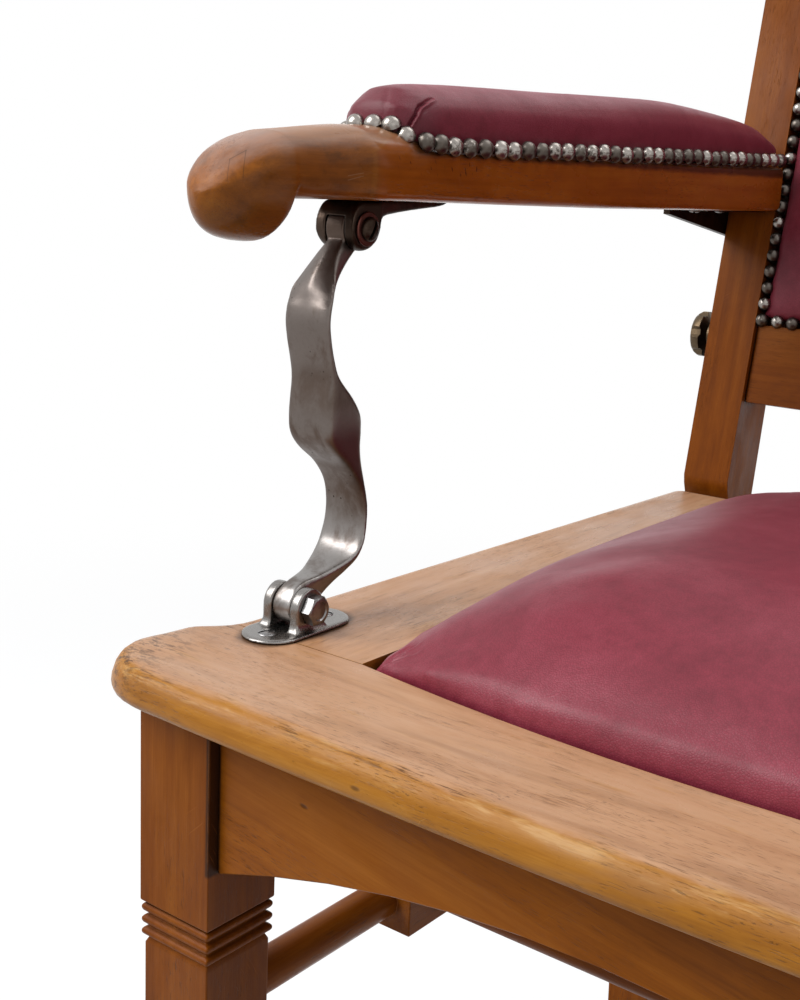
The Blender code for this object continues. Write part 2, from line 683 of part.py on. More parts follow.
def lug_outline(rise, radius):
    """A tongue that rises to a rounded end about the origin's pivot, from `rise` below it."""
    return [(-radius, -rise), (radius, -rise), *arc((0, 0), radius, pi / 2, -pi / 2, 10)]


def support_brackets():
    """Brackets on the seat: an oval flange with two lugs, and the hex bolt through them."""
    seat = SEAT_HEIGHT + GAP
    for side, sign in SIDES.items():
        pivot = Vector((inset(side, SUPPORT_IN), FRONT + SUPPORT_PIVOT, PIVOT_Z))
        half, round_end = FLANGE.x / 2, FLANGE.y / 2 - FLANGE.x / 2
        oval = arc((0, round_end), half, -pi / 2, pi / 2, 10) + arc((0, -round_end), half, pi / 2,
                                                                    3 * pi / 2, 10)
        flange = plate(f"{side}_flange", [oval], FLANGE.z, Matrix.Translation(
            (pivot.x, pivot.y + FLANGE_BACK, seat + FLANGE.z / 2)))
        lugs = []
        for i in (-1, 1):
            x = pivot.x + i * (EYE / 2 + GAP + LUG / 2)
            stand = Matrix.Translation((x, pivot.y, pivot.z)) @ UPRIGHT_ALONG
            lugs.append(plate(f"{side}_lug_{i}", [lug_outline(pivot.z - seat - FLANGE.z / 2,
                                                              LUG_RADIUS)], LUG, stand))
        reach = EYE / 2 + GAP + LUG
        bore = rod(f"{side}_lug_bore", pivot - Vector((2 * reach, 0, 0)),
                   pivot + Vector((2 * reach, 0, 0)), PIN_RADIUS + PLAY)
        joined(f"{side}_support_bracket", [flange, *lugs], [bore], NICKEL)
        inner = -sign
        head = pivot + Vector((inner * (reach + GAP), 0, 0))
        nut = pivot - Vector((inner * (reach + GAP), 0, 0))
        shank = rod(f"{side}_shank", nut - Vector((inner * NUT_HEIGHT / 2, 0, 0)),
                    head + Vector((inner * HEX_HEIGHT / 2, 0, 0)), PIN_RADIUS)
        hex_head = rod(f"{side}_hex", head, head + Vector((inner * HEX_HEIGHT, 0, 0)), HEX_RADIUS, 6)
        rivet = rod(f"{side}_nut", nut - Vector((inner * NUT_HEIGHT, 0, 0)), nut, NUT_RADIUS)
        joined(f"{side}_support_bolt", [hex_head, shank, rivet], [], NICKEL)


def arm_supports():
    """The wavy cast bars, each with an eye at both ends."""
    for side in SIDES:
        pivot = Vector((inset(side, SUPPORT_IN), FRONT + SUPPORT_PIVOT, PIVOT_Z))
        axis = axis_empty(f"{side}_support_axis", pivot)
        rings = []
        for row in through(SUPPORT_STATIONS, SUPPORT_STEPS):
            front_y, front_z, rear_y, rear_z, width, square = row
            front, rear = Vector((0, front_y, front_z)), Vector((0, rear_y, rear_z))
            rings.append(round_ring((front + rear) / 2, Vector((width / 2, 0, 0)), (rear - front) / 2,
                                    (square, square), RING))
        bar = loft(f"{side}_support_bar", rings)
        top = Vector((0, LINK_BACK, LINK_RISE))
        half_eye = Vector((EYE / 2, 0, 0))
        eyes = [
            rod(f"{side}_eye_{i}", end - half_eye, end + half_eye, EYE_RADIUS, 24)
            for i, end in enumerate((Vector(), top))
        ]
        bores = [
            rod(f"{side}_eye_bore_{i}", end - 2 * half_eye, end + 2 * half_eye, PIN_RADIUS + PLAY)
            for i, end in enumerate((Vector(), top))
        ]
        joined(f"{side}_arm_support", [bar, *eyes], bores, NICKEL, axis)


def arm_length():
    """Scroll tip to the rear end, which stops before the leaning stile."""
    stile = ARM_PIVOT.y + (ARM_Z - ARM_PIVOT.z) * LINK_BACK / LINK_RISE - STILE_FRONT / cos(LEAN)
    return stile - ARM_END_CLEAR - FRONT - ARM_TIP


def arms():
    """Wooden arms with a scroll, and the leather cushions on them."""
    length = arm_length()
    tip = Vector((0, FRONT + ARM_TIP, ARM_Z)) - ARM_PIVOT
    rows = [
        *SCROLL_STATIONS,
        (ARM_NECK, 0.0, ARM_NECK_TOP, ARM_HALF, SCROLL_STATIONS[-1][-2], ARM_SQUARE),
        (ARM_NECK + 4 * GAP, 0.0, ARM_TOP, ARM_HALF, ARM_SQUARE, ARM_SQUARE),
        (length, 0.0, ARM_TOP + ARM_RISE, ARM_HALF, ARM_SQUARE, ARM_SQUARE),
    ]
    start, end = ARM_PAD_START, length - ARM_PAD_END
    for side in SIDES:
        x = inset(side, ARM_IN)
        axis = axis_empty(f"{side}_arm_axis", ARM_PIVOT + Vector((x, 0, 0)))
        rings = [
            round_ring(tip + Vector((0, back, (low + high) / 2)), Vector((half, 0, 0)),
                       Vector((0, 0, (high - low) / 2)), (square, low_square), ARM_RING)
            for back, low, high, half, square, low_square in rows
        ]
        loft(f"{side}_arm", rings, WOOD, axis)

        def shape(a, b, c):
            depth = ARM_PAD_NOSE + ARM_PAD_PUFF * (c + 1) / 2
            nose = depth * (1 - sqrt(1 - 0.98 * a * a)) * (1 - b) / 2
            y = start + (end - start) * (b + 1) / 2 + nose
            base = ARM_TOP + ARM_RISE * (y - ARM_NECK) / (length - ARM_NECK) + GAP
            crown = (1 - 0.45 * a * a) * (1 - 0.30 * abs(b) ** 8)
            z = base + (c + 1) / 2 * ARM_PAD_HEIGHT * crown
            return tip + Vector((a * ARM_PAD_HALF * (1 - 0.03 * (1 - b * b)), y, z))

        cushion(f"{side}_arm_pad", shape, 5, LEATHER, axis)


def arm_brackets():
    """Front brackets with lugs and screws, and rear brackets with an ear beside the stile."""
    under = ARM_Z - GAP - ARM_PIVOT.z
    for side, sign in SIDES.items():
        axis = bpy.data.objects[f"{side}_arm_axis"]
        arm_x = inset(side, ARM_IN)
        pivot = Vector((
            inset(side, SUPPORT_IN) - arm_x,
            FRONT + SUPPORT_PIVOT + LINK_BACK - ARM_PIVOT.y,
            PIVOT_Z + LINK_RISE - ARM_PIVOT.z,
        ))
        reach = EYE / 2 + GAP + LUG
        half_tip = TAIL_TIP / 2
        tail = [(-reach, -LUG_RADIUS), (reach, -LUG_RADIUS), (reach, LUG_RADIUS),
                (half_tip, TAIL), (-half_tip, TAIL), (-reach, LUG_RADIUS)]
        strap = plate(f"{side}_tail", [tail], ARM_PLATE, Matrix.Translation(
            (pivot.x, pivot.y, under - ARM_PLATE / 2)))
        lugs = []
        for i in (-1, 1):
            x = pivot.x + i * (EYE / 2 + GAP + LUG / 2)
            stand = Matrix.Translation((x, pivot.y, pivot.z)) @ UPRIGHT_ALONG
            stand = stand @ Matrix.Diagonal((1, -1, 1, 1))
            outline = lug_outline(under - ARM_PLATE / 2 - pivot.z, LUG_RADIUS)
            lugs.append(plate(f"{side}_arm_lug_{i}", [outline], LUG, stand))
        bore = rod(f"{side}_arm_lug_bore", pivot - Vector((2 * reach, 0, 0)),
                   pivot + Vector((2 * reach, 0, 0)), PIN_RADIUS + PLAY)
        joined(f"{side}_arm_front_bracket", [strap, *lugs], [bore], NICKEL, axis)
        along = Matrix.Translation(pivot) @ Matrix.Rotation(-sign * pi / 2, 4, "Y")
        edge = reach + GAP
        screw = [(0.0, edge + 0.0035), (SCREW_HEAD * 0.55, edge + 0.0030),
                 (SCREW_HEAD * 0.9, edge + 0.0014), (SCREW_HEAD, edge), (PIN_RADIUS, edge),
                 (PIN_RADIUS, -edge), (SCREW_HEAD * 0.8, -edge), (SCREW_HEAD * 0.8, -edge - 0.003),
                 (0.0, -edge - 0.003)]
        turned(f"{side}_arm_front_screw", screw, along, NICKEL, axis)
        rear_brackets(side, sign, axis, arm_x, under)


def rear_brackets(side, sign, axis, arm_x, under):
    """A plate under the arm's rear end, with an ear that runs back to the stile's pivot."""
    ear_in = sign * (STILE_OUT + 2 * GAP) - arm_x
    ear_x = ear_in + sign * REAR_EAR / 2
    end = tip_to_end_y()
    inner = ear_in + sign * REAR_EAR - sign * REAR_PLATE.x
    low_x, high_x = sorted((inner, ear_x))
    base = block(f"{side}_rear_plate", (low_x, end - REAR_PLATE.y, under - REAR_PLATE.z),
                 (high_x, end, under))
    front, top = end - REAR_PLATE.y + REAR_EAR, under - REAR_PLATE.z / 2
    ear = [(front, top), (front, top - 2 * REAR_PLATE.z),
           *arc((0, 0), REAR_EAR_RADIUS, 1.1 * pi, 0.1 * pi, 12), (end - REAR_EAR, top)]
    tongue = plate(f"{side}_rear_ear", [ear], REAR_EAR,
                   Matrix.Translation((ear_x, 0, 0)) @ UPRIGHT_ALONG)
    bore = rod(f"{side}_rear_bore", (ear_x - 2 * REAR_EAR, 0, 0), (ear_x + 2 * REAR_EAR, 0, 0),
               PIVOT_PIN + PLAY)
    joined(f"{side}_arm_rear_bracket", [base, tongue], [bore], NICKEL, axis)


def tip_to_end_y():
    """Arm's rear end in the arm's own frame, less a small margin for its plate."""
    return FRONT + ARM_TIP + arm_length() - ARM_PIVOT.y - 0.002


def stile_outline():
    """Side view of a stile: rounded foot about the pivot, taper to a rounded top."""
    rear_angle, front_angle = asin(STILE_REAR / STILE_FOOT), asin(STILE_FRONT / STILE_FOOT)
    foot = arc((0, 0), STILE_FOOT, pi - rear_angle, pi + front_angle, 10)
    top_half = (STILE_TIP + STILE_FRONT) / 2
    top_y = STILE_TIP - top_half
    top = [
        (top_y - top_half * cos(a), STILE_HEIGHT - top_half + top_half * sin(a))
        for a in (pi * i / 8 for i in range(9))
    ]
    return foot + top


def back_frame(lean):
    """Stiles, rails, panel and cushion of the back."""
    for side, sign in SIDES.items():
        x = sign * (STILE_OUT - STILE / 2)
        stile = plate(f"{side}_back_stile", [stile_outline()], STILE,
                      Matrix.Translation((x, 0, 0)) @ UPRIGHT_ALONG, WOOD, lean)
        for what, z, radius in (
            ("pivot", 0.0, PIVOT_PIN), ("clamp", SLOT_RADIUS, PIN_RADIUS), ("arm", LINK, PIVOT_PIN),
        ):
            socket = rod(f"{side}_{what}_socket", (sign * (STILE_OUT - PIVOT_SOCKET), 0, z),
                         (sign * (STILE_OUT + PIVOT_SOCKET), 0, z), radius + PLAY, parent=lean)
            boolean(stile, socket)
    rail_y = RAIL / 2 - RAIL_FRONT
    low, high = TOP_RAIL
    steps = 12
    crest = [
        (FRAME_HALF * (1 - 2 * i / steps), high + CREST * cos(pi * (1 - 2 * i / steps) / 2) ** 2)
        for i in range(steps + 1)
    ]
    plate("back_top_rail", [[(-FRAME_HALF, low), (FRAME_HALF, low), *crest]], RAIL,
          Matrix.Translation((0, rail_y, 0)) @ UPRIGHT_ACROSS, WOOD, lean)
    block("back_bottom_rail", (-FRAME_HALF, -RAIL_FRONT, BOTTOM_RAIL[0]),
          (FRAME_HALF, RAIL - RAIL_FRONT, BOTTOM_RAIL[1]), WOOD, lean)
    panel_low, panel_high = BOTTOM_RAIL[1] + GAP, TOP_RAIL[0] - GAP
    panel_rear = RAIL - RAIL_FRONT - GAP
    block("back_panel", (-FRAME_HALF, panel_rear - PANEL, panel_low),
          (FRAME_HALF, panel_rear, panel_high), PLAIN_WOOD, lean)
    half_x = FRAME_HALF - BACK_PAD_EDGE
    half_z = (panel_high - panel_low) / 2 - BACK_PAD_EDGE
    middle_z = (panel_high + panel_low) / 2
    face = panel_rear - PANEL - GAP

    def shape(a, b, c):
        x = a * half_x * (1 - 0.012 * (1 - b * b))
        z = middle_z + b * half_z * (1 - 0.012 * (1 - a * a))
        y = face - (1 - c) / 2 * (BACK_PAD_RIM + BACK_PAD_CROWN * dome(a, b, 3))
        return x, y, z

    cushion("back_pad", lambda a, c, b: shape(a, b, c), 5, LEATHER, lean)


def back_plates():
    """Slotted plates on the rear legs that carry the back's pivots and clamps."""
    tab_rear = LEG_DEPTH - PIVOT_BACK - GAP
    tab_front = tab_rear - PLATE_TAB.x
    tab_top = SEAT_UNDER - PLATE_UNDER - PIVOT_Z
    tab_low = tab_top - PLATE_TAB.y
    outer = SLOT_RADIUS + PIN_RADIUS + PLAY + PLATE_MARGIN
    margin = (PIN_RADIUS + PLATE_MARGIN) / SLOT_RADIUS
    outline = [
        (tab_front, tab_top), (tab_front, tab_low), (tab_rear, tab_low),
        *arc((0, 0), PLATE_BOSS, pi, 0.75 * pi, 3),
        *arc((0, 0), outer, LEAN + RECLINE + margin, LEAN - margin, 12),
        *arc((0, 0), PLATE_BOSS, -pi / 2, -pi / 2, 1)[:1],
        (-PLATE_BOSS, tab_top),
    ]
    slot_half = PIN_RADIUS + PLAY
    slot = []
    for centre, turn in ((LEAN + RECLINE, 0.0), (LEAN, pi)):
        middle = (SLOT_RADIUS * sin(centre), SLOT_RADIUS * cos(centre))
        cap = arc(middle, slot_half, centre + turn, centre + turn + pi, 6)
        slot += cap
        radius = SLOT_RADIUS + slot_half * (-1 if turn == 0.0 else 1)
        sweep = (LEAN + RECLINE, LEAN) if turn == 0.0 else (LEAN, LEAN + RECLINE)
        slot += arc((0, 0), radius, *sweep, 10)[1:-1]
    pivot_hole = arc((0, 0), PIVOT_PIN + PLAY, 0.0, 2 * pi * 15 / 16, 15)
    for side, sign in SIDES.items():
        x = sign * (STILE_OUT + GAP + PLATE / 2)
        stand = Matrix.Translation(BACK_PIVOT + Vector((x, 0, 0))) @ UPRIGHT_ALONG
        plate(f"{side}_back_plate", [outline, pivot_hole, slot], PLATE, stand, NICKEL)


def outward(sign, x, y, z):
    """A frame whose Z points away from the chair's middle, at a point on the stile's outer face."""
    return Matrix.Translation((sign * x, y, z)) @ Matrix.Rotation(sign * pi / 2, 4, "Y")


def bolt_profile(radius, head, inside, outside):
    """Half of a bolt with a domed head, from its crown to the end of its shank."""
    return [(0.0, outside + PIVOT_HEAD_HEIGHT), (0.6 * head, outside + 0.8 * PIVOT_HEAD_HEIGHT),
            (head, outside + 0.3 * PIVOT_HEAD_HEIGHT), (head, outside), (radius, outside),
            (radius, inside), (0.0, inside)]


def pivots_and_clamps(lean):
    """Pivot bolts, and clamp knobs whose studs run in the slots."""
    inside = GAP - PIVOT_SOCKET
    for side, sign in SIDES.items():
        plate_face = PLATE + 2 * GAP
        turned(f"{side}_back_pivot", bolt_profile(PIVOT_PIN, PIVOT_HEAD, inside, plate_face),
               outward(sign, STILE_OUT, BACK_PIVOT.y, BACK_PIVOT.z), NICKEL)
        ear_face = REAR_EAR + 3 * GAP
        turned(f"{side}_arm_pivot", bolt_profile(PIVOT_PIN, PIVOT_HEAD, inside, ear_face),
               outward(sign, STILE_OUT, 0, LINK), NICKEL, lean)
        knob = [
            (0.0, plate_face + KNOB_LENGTH), (0.5 * KNOB_RADIUS, plate_face + 0.97 * KNOB_LENGTH),
            (0.9 * KNOB_RADIUS, plate_face + 0.85 * KNOB_LENGTH),
            (KNOB_RADIUS, plate_face + 0.70 * KNOB_LENGTH),
            (KNOB_RADIUS, plate_face + 0.48 * KNOB_LENGTH),
            (0.55 * KNOB_RADIUS, plate_face + 0.30 * KNOB_LENGTH),
            (0.55 * KNOB_RADIUS, plate_face), (PIN_RADIUS, plate_face), (PIN_RADIUS, inside),
            (0.0, inside),
        ]
        handle = turned(f"{side}_clamp_knob", knob, outward(sign, STILE_OUT, 0, SLOT_RADIUS), BRONZE,
                        lean, steps=24)
        for i in range(KNOB_SCALLOPS):
            angle = 2 * pi * i / KNOB_SCALLOPS
            ring = KNOB_RADIUS + 0.62 * SCALLOP_RADIUS
            y, z = ring * cos(angle), SLOT_RADIUS + ring * sin(angle)
            start = sign * (STILE_OUT + plate_face + 0.40 * KNOB_LENGTH)
            stop = sign * (STILE_OUT + plate_face + 2 * KNOB_LENGTH)
            boolean(handle, rod(f"{side}_scallop_{i}", (start, y, z), (stop, y, z), SCALLOP_RADIUS,
                                10, parent=lean))


def headrest(lean):
    """Guide and thumb screw on the top rail, the sliding post and the tilting headrest."""
    rail_rear = RAIL - RAIL_FRONT
    slot_front = rail_rear + GAP + GUIDE_WALL
    post_front = slot_front + GAP
    post_rear = post_front + POST.y
    guide_rear = post_rear + GAP + GUIDE_WALL
    half_slot = POST.x / 2 + GAP
    tube = block("guide_body", (-half_slot - GUIDE_WALL, rail_rear + GAP, GUIDE[0]),
                 (half_slot + GUIDE_WALL, guide_rear, GUIDE[1]))
    channel = block("guide_channel", (-half_slot, slot_front, GUIDE[0] - GUIDE_WALL),
                    (half_slot, post_rear + GAP, GUIDE[1] + GUIDE_WALL))
    tapped = rod("guide_tapping", (0, post_rear - GAP, SCREW_Z), (0, guide_rear + GUIDE_WALL, SCREW_Z),
                 PIN_RADIUS + PLAY)
    joined("headrest_guide", [tube], [channel, tapped], NICKEL, lean)
    back = Matrix.Translation((0, 0, SCREW_Z)) @ Matrix.Rotation(-pi / 2, 4, "X")
    outside = guide_rear + GAP
    screw = [(0.0, outside + 0.024), (0.008, outside + 0.0225), (0.0115, outside + 0.018),
             (0.0115, outside + 0.012), (0.006, outside + 0.006), (0.006, outside),
             (PIN_RADIUS, outside), (PIN_RADIUS, post_rear + GAP), (0.0, post_rear + GAP)]
    turned("headrest_screw", screw, back, BRONZE, lean)

    pivot = Vector((0, (post_front + post_rear) / 2, POST_HIGH))
    half_post = Vector((POST.x / 2, 0, 0))
    bar = block("post_bar", (-POST.x / 2, post_front, POST_LOW), (POST.x / 2, post_rear, POST_HIGH))
    eye = rod("post_eye", pivot - half_post, pivot + half_post, POST_EYE, 24)
    bore = rod("post_bore", pivot - 2 * half_post, pivot + 2 * half_post, PIN_RADIUS + PLAY)
    joined("headrest_post", [bar, eye], [bore], NICKEL, lean)

    tilt = axis_empty("headrest_axis", pivot)
    tilt.parent = lean
    plate_rear = -HEAD_REACH
    plate_front = plate_rear - HEAD_PLATE.y
    ear_in = POST.x / 2 + GAP
    base = block("head_plate", (-HEAD_PLATE.x / 2, plate_front, -HEAD_PLATE.z / 2),
                 (HEAD_PLATE.x / 2, plate_rear, HEAD_PLATE.z / 2))
    ears = []
    for i in (-1, 1):
        x = i * (ear_in + HEAD_EAR / 2)
        outline = [(plate_front + GAP, -1.5 * POST_EYE), *arc((0, 0), POST_EYE, pi, 0.0, 10),
                   (plate_front + GAP, 1.5 * POST_EYE)]
        ears.append(plate(f"head_ear_{i}", [outline], HEAD_EAR,
                          Matrix.Translation((x, 0, 0)) @ UPRIGHT_ALONG))
    span = ear_in + HEAD_EAR + GAP
    hole = rod("head_bore", (-2 * span, 0, 0), (2 * span, 0, 0), PIN_RADIUS + PLAY)
    joined("headrest_bracket", [base, *ears], [hole], NICKEL, tilt)
    end = 0.003
    pin = [(0.0, span + end), (1.6 * PIN_RADIUS, span + end), (1.6 * PIN_RADIUS, span),
           (PIN_RADIUS, span), (PIN_RADIUS, -span), (1.6 * PIN_RADIUS, -span),
           (1.6 * PIN_RADIUS, -span - end), (0.0, -span - end)]
    turned("headrest_pin", pin, Matrix.Rotation(pi / 2, 4, "Y"), NICKEL, tilt)
    board_rear = plate_front - GAP
    block("headrest_board", (-HEAD_BOARD.x / 2, board_rear - HEAD_BOARD.y, -HEAD_BOARD.z / 2),
          (HEAD_BOARD.x / 2, board_rear, HEAD_BOARD.z / 2), WOOD, tilt)
    face = board_rear - HEAD_BOARD.y - GAP
    half_x, half_z = HEAD_BOARD.x / 2 + HEAD_PAD_EDGE, HEAD_BOARD.z / 2 + HEAD_PAD_EDGE

    def shape(a, c, b):
        x = a * half_x * (1 - 0.015 * (1 - b * b))
        z = b * half_z * (1 - 0.03 * (1 - a * a))
        y = face - (1 - c) / 2 * HEAD_PAD * (0.45 + 0.55 * dome(a, b, 4))
        return x, y, z

    cushion("headrest_cushion", shape, 4, LEATHER, tilt)


seat_boards()
legs()
aprons()
stretchers()
seat_cushion()
support_brackets()
arm_supports()
arms()
arm_brackets()
back_plates()
RECLINE_AXIS = axis_empty("recline_axis", BACK_PIVOT, LEAN)
back_frame(RECLINE_AXIS)
pivots_and_clamps(RECLINE_AXIS)
headrest(RECLINE_AXIS)
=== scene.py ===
# %% [markdown]
# # A barber chair in honey wood, burgundy leather and nickelled castings
# The chair arrives as a packed frame of plain solids, each already in its place and on its own
# moving body. This lesson dresses that frame: it keeps the solids whose shape is right, and puts
# fuller pieces in place of the others. The frame's own box is kept from the very start.

# %% Load the frame
import json
import random
from math import cos, exp, pi, radians, sin, sqrt, tan

import bmesh
import bpy
import numpy as np
from mathutils import Matrix, Vector
from mathutils.bvhtree import BVHTree
from mathutils.kdtree import KDTree


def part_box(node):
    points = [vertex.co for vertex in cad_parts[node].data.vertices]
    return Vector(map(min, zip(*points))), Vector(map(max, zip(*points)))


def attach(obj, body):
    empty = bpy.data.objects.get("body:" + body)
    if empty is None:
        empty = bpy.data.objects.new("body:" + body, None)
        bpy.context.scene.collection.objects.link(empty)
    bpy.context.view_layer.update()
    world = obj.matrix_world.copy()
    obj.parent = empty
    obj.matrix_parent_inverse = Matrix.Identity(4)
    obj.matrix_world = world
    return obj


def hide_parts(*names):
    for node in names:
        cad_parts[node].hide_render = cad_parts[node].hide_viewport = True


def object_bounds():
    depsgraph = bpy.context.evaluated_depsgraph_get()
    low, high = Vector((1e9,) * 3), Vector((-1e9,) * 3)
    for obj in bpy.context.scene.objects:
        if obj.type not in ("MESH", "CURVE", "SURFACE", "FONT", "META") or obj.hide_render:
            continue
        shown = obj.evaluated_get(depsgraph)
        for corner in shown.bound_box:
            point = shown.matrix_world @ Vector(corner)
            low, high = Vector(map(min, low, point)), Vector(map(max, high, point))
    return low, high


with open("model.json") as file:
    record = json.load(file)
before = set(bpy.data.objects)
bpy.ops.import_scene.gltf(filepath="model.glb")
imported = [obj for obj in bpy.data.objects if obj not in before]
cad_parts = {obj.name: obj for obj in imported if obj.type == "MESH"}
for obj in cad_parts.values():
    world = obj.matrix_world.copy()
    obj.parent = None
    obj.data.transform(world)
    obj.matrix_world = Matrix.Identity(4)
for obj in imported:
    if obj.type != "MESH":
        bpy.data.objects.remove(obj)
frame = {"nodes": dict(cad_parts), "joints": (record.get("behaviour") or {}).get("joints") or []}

nodes = frame["nodes"]
cad_box = [list(corner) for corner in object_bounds()]

# %% [markdown]
# ## The camera
# The view is that of someone standing close to the chair's right front corner and looking down at
# its left arm. A camera can be aimed with a Track To constraint, but a yaw, a pitch and a small
# roll say the same thing in three numbers, and a matrix built from them needs no helper objects.
# The lens is given in pixels of a picture 1000 pixels high, because that is how a view is measured
# from straight edges of known size.

# %% Camera
PICTURE_HEIGHT = 1000
FOCAL_PIXELS = 1371.8
YAW, PITCH, ROLL = radians(37.216), radians(13.40), radians(-2.644)
STANDPOINT = Vector((0.2020, -0.7124, 0.7128))


def in_scene(thing):
    bpy.context.scene.collection.objects.link(thing)
    return thing


forward = Vector((-sin(YAW) * cos(PITCH), cos(YAW) * cos(PITCH), -sin(PITCH)))
level = Vector((cos(YAW), sin(YAW), 0.0))
plumb = forward.cross(level)
side_axis = cos(ROLL) * level + sin(ROLL) * plumb
down_axis = cos(ROLL) * plumb - sin(ROLL) * level

lens = bpy.data.cameras.new("viewpoint")
lens.sensor_width = 36.0
lens.lens = FOCAL_PIXELS / PICTURE_HEIGHT * lens.sensor_width
lens.clip_start = 0.01
camera = in_scene(bpy.data.objects.new("viewpoint", lens))
turn = Matrix((side_axis, -down_axis, -forward)).transposed().to_4x4()
camera.matrix_world = Matrix.Translation(STANDPOINT) @ turn
bpy.context.scene.camera = camera
bpy.context.scene.view_settings.view_transform = "Standard"
print("camera: %.1f mm lens at" % lens.lens, [round(v, 3) for v in STANDPOINT])

# %% [markdown]
# ## Shorthand for nodes
# A material in Blender is a small network of nodes, and so is the world around the scene. Written
# out in full, each node takes four or five lines, so this helper gives the handful of nodes that
# wood, leather and metal share a short call each. Patterns are sized in metres: `stretch` divides
# the place on the object by the size of one cell of the pattern, so a streak that is 200 mm long
# and 4 mm wide is simply (0.2, 0.004, 0.004). `window` turns a range of a value into 0 to 1.

# %% Nodes
class Nodes:
    """A network of nodes, and short calls that add nodes to it and link them."""

    def __init__(self, owner):
        owner.use_nodes = True
        self.tree = owner.node_tree

    def put(self, socket, value):
        if isinstance(value, bpy.types.NodeSocket):
            self.tree.links.new(value, socket)
        else:
            socket.default_value = value

    def add(self, kind, inputs=None, **settings):
        node = self.tree.nodes.new("ShaderNode" + kind)
        for name, value in settings.items():
            setattr(node, name, value)
        for name, value in (inputs or {}).items():
            self.put(node.inputs[name], value)
        return node

    def math(self, operation, first, second=0.0):
        return self.add("Math", {0: first, 1: second}, operation=operation).outputs[0]

    def chain(self, operation, values):
        total, *rest = values
        for value in rest:
            total = self.math(operation, total, value)
        return total

    def times(self, *values):
        return self.chain("MULTIPLY", values)

    def plus(self, *values):
        return self.chain("ADD", values)

    def less(self, *values):
        return self.chain("SUBTRACT", values)

    def most(self, *values):
        return self.chain("MAXIMUM", values)

    def absolute(self, value):
        return self.math("ABSOLUTE", value)

    def place(self, kind="Object"):
        return self.add("TexCoord").outputs[kind]

    def parts(self, vector):
        return self.add("SeparateXYZ", {0: vector}).outputs

    def stretch(self, vector, size, lie=(0.0, 0.0, 0.0)):
        size = size if isinstance(size, tuple) else (size, size, size)
        cell = {"Vector": vector, "Rotation": lie, "Scale": size}
        return self.add("Mapping", cell, vector_type="TEXTURE").outputs[0]

    def noise(self, vector, detail=2.0, rough=0.5, warp=0.0, output="Fac"):
        values = {"Vector": vector, "Scale": 1.0, "Detail": detail, "Roughness": rough,
                  "Distortion": warp}
        return self.add("TexNoise", values).outputs[output]

    def cells(self, vector, feature="F1"):
        return self.add("TexVoronoi", {"Vector": vector, "Scale": 1.0}, feature=feature).outputs

    def window(self, value, low, high, floor=0.0, top=1.0):
        values = {"Value": value, "From Min": low, "From Max": high, "To Min": floor, "To Max": top}
        return self.add("MapRange", values, interpolation_type="SMOOTHSTEP").outputs[0]

    def band(self, value, rise, fall):
        """1 between two slopes, 0 outside them."""
        return self.times(self.window(value, *rise), self.window(value, *fall))


print("node shorthand:", [name for name in vars(Nodes) if not name.startswith("_")])

# %% [markdown]
# ## Shorthand for finishes
# A finish is built up as a painter would do it: a ground of three tones, then thin layers over it,
# each laid on only where some pattern says so. `paint` is one such layer. Two of Blender's nodes
# know about shape: Bevel finds edges, where varnish and plate wear off and where metal edges also
# get a painted highlight, and Ambient Occlusion finds crevices, which get painted shade.

# %% Finishes
class Finish(Nodes):
    """A material under construction."""

    def __init__(self, name):
        self.material = bpy.data.materials.new(name)
        super().__init__(self.material)
        self.shader = self.tree.nodes["Principled BSDF"]

    def three_tones(self, value, tones):
        """A dark, a middle and a light colour, one after another as the value rises."""
        node = self.add("ValToRGB", {"Fac": value})
        elements = node.color_ramp.elements
        elements.new(0.5)
        for element, position, colour in zip(elements, (0.34, 0.50, 0.66), tones):
            element.position = position
            element.color = (*colour, 1.0)
        return node.outputs["Color"]

    def mix(self, amount, first, second):
        first, second = (
            (*c, 1.0) if isinstance(c, tuple) and len(c) == 3 else c for c in (first, second)
        )
        values = {0: amount, 6: first, 7: second}
        return self.add("Mix", values, data_type="RGBA", blend_type="MIX").outputs[2]

    def paint(self, under, over, *amounts):
        """A layer of colour over another, laid on where all the amounts are near 1."""
        return self.mix(self.times(*amounts), under, over)

    def facing_up(self):
        """1 on surfaces that face straight up, -1 on those that face down."""
        return self.parts(self.place("Normal"))["Z"]

    def chosen(self, cells, channel, low, high):
        """1 on some cells of a pattern and 0 on the others, by the cells' chance colours."""
        pick = self.add("SeparateColor", {0: cells["Color"]}).outputs[channel]
        return self.window(pick, low, high)

    def bump(self, height, depth, strength):
        values = {"Height": height, "Distance": depth, "Strength": strength}
        return self.add("Bump", values).outputs["Normal"]

    def edges(self, radius):
        """Near 1 on edges and corners, 0 on open faces."""
        rounded = self.add("Bevel", {"Radius": radius}, samples=4).outputs["Normal"]
        true = self.add("NewGeometry").outputs["Normal"]
        same = self.add("VectorMath", {0: rounded, 1: true}, operation="DOT_PRODUCT")
        return self.window(same.outputs["Value"], 0.985, 0.86)

    def crevice_shade(self, depth):
        """Near 1 in corners and under overhangs, where shade is painted; 0 on open faces."""
        open_sky = self.add("AmbientOcclusion", {"Distance": depth}, samples=4).outputs["AO"]
        return self.window(open_sky, 0.80, 0.30)

    def shade(self, values):
        for name, value in values.items():
            if isinstance(value, tuple) and len(value) == 3:
                value = (*value, 1.0)
            self.put(self.shader.inputs[name], value)
        return self.material


print("finish shorthand:", [name for name in vars(Finish) if not name.startswith("_")])

# %% [markdown]
# ## A pale studio
# The chair stands on a white floor in front of white, like a cut-out in a catalogue. More light
# would only bleach the wood, so the white is made by the floor and the world themselves: rays from
# the camera, and rays that mirror off metal, see plain white, while the light that falls on the
# chair stays soft and moderate.

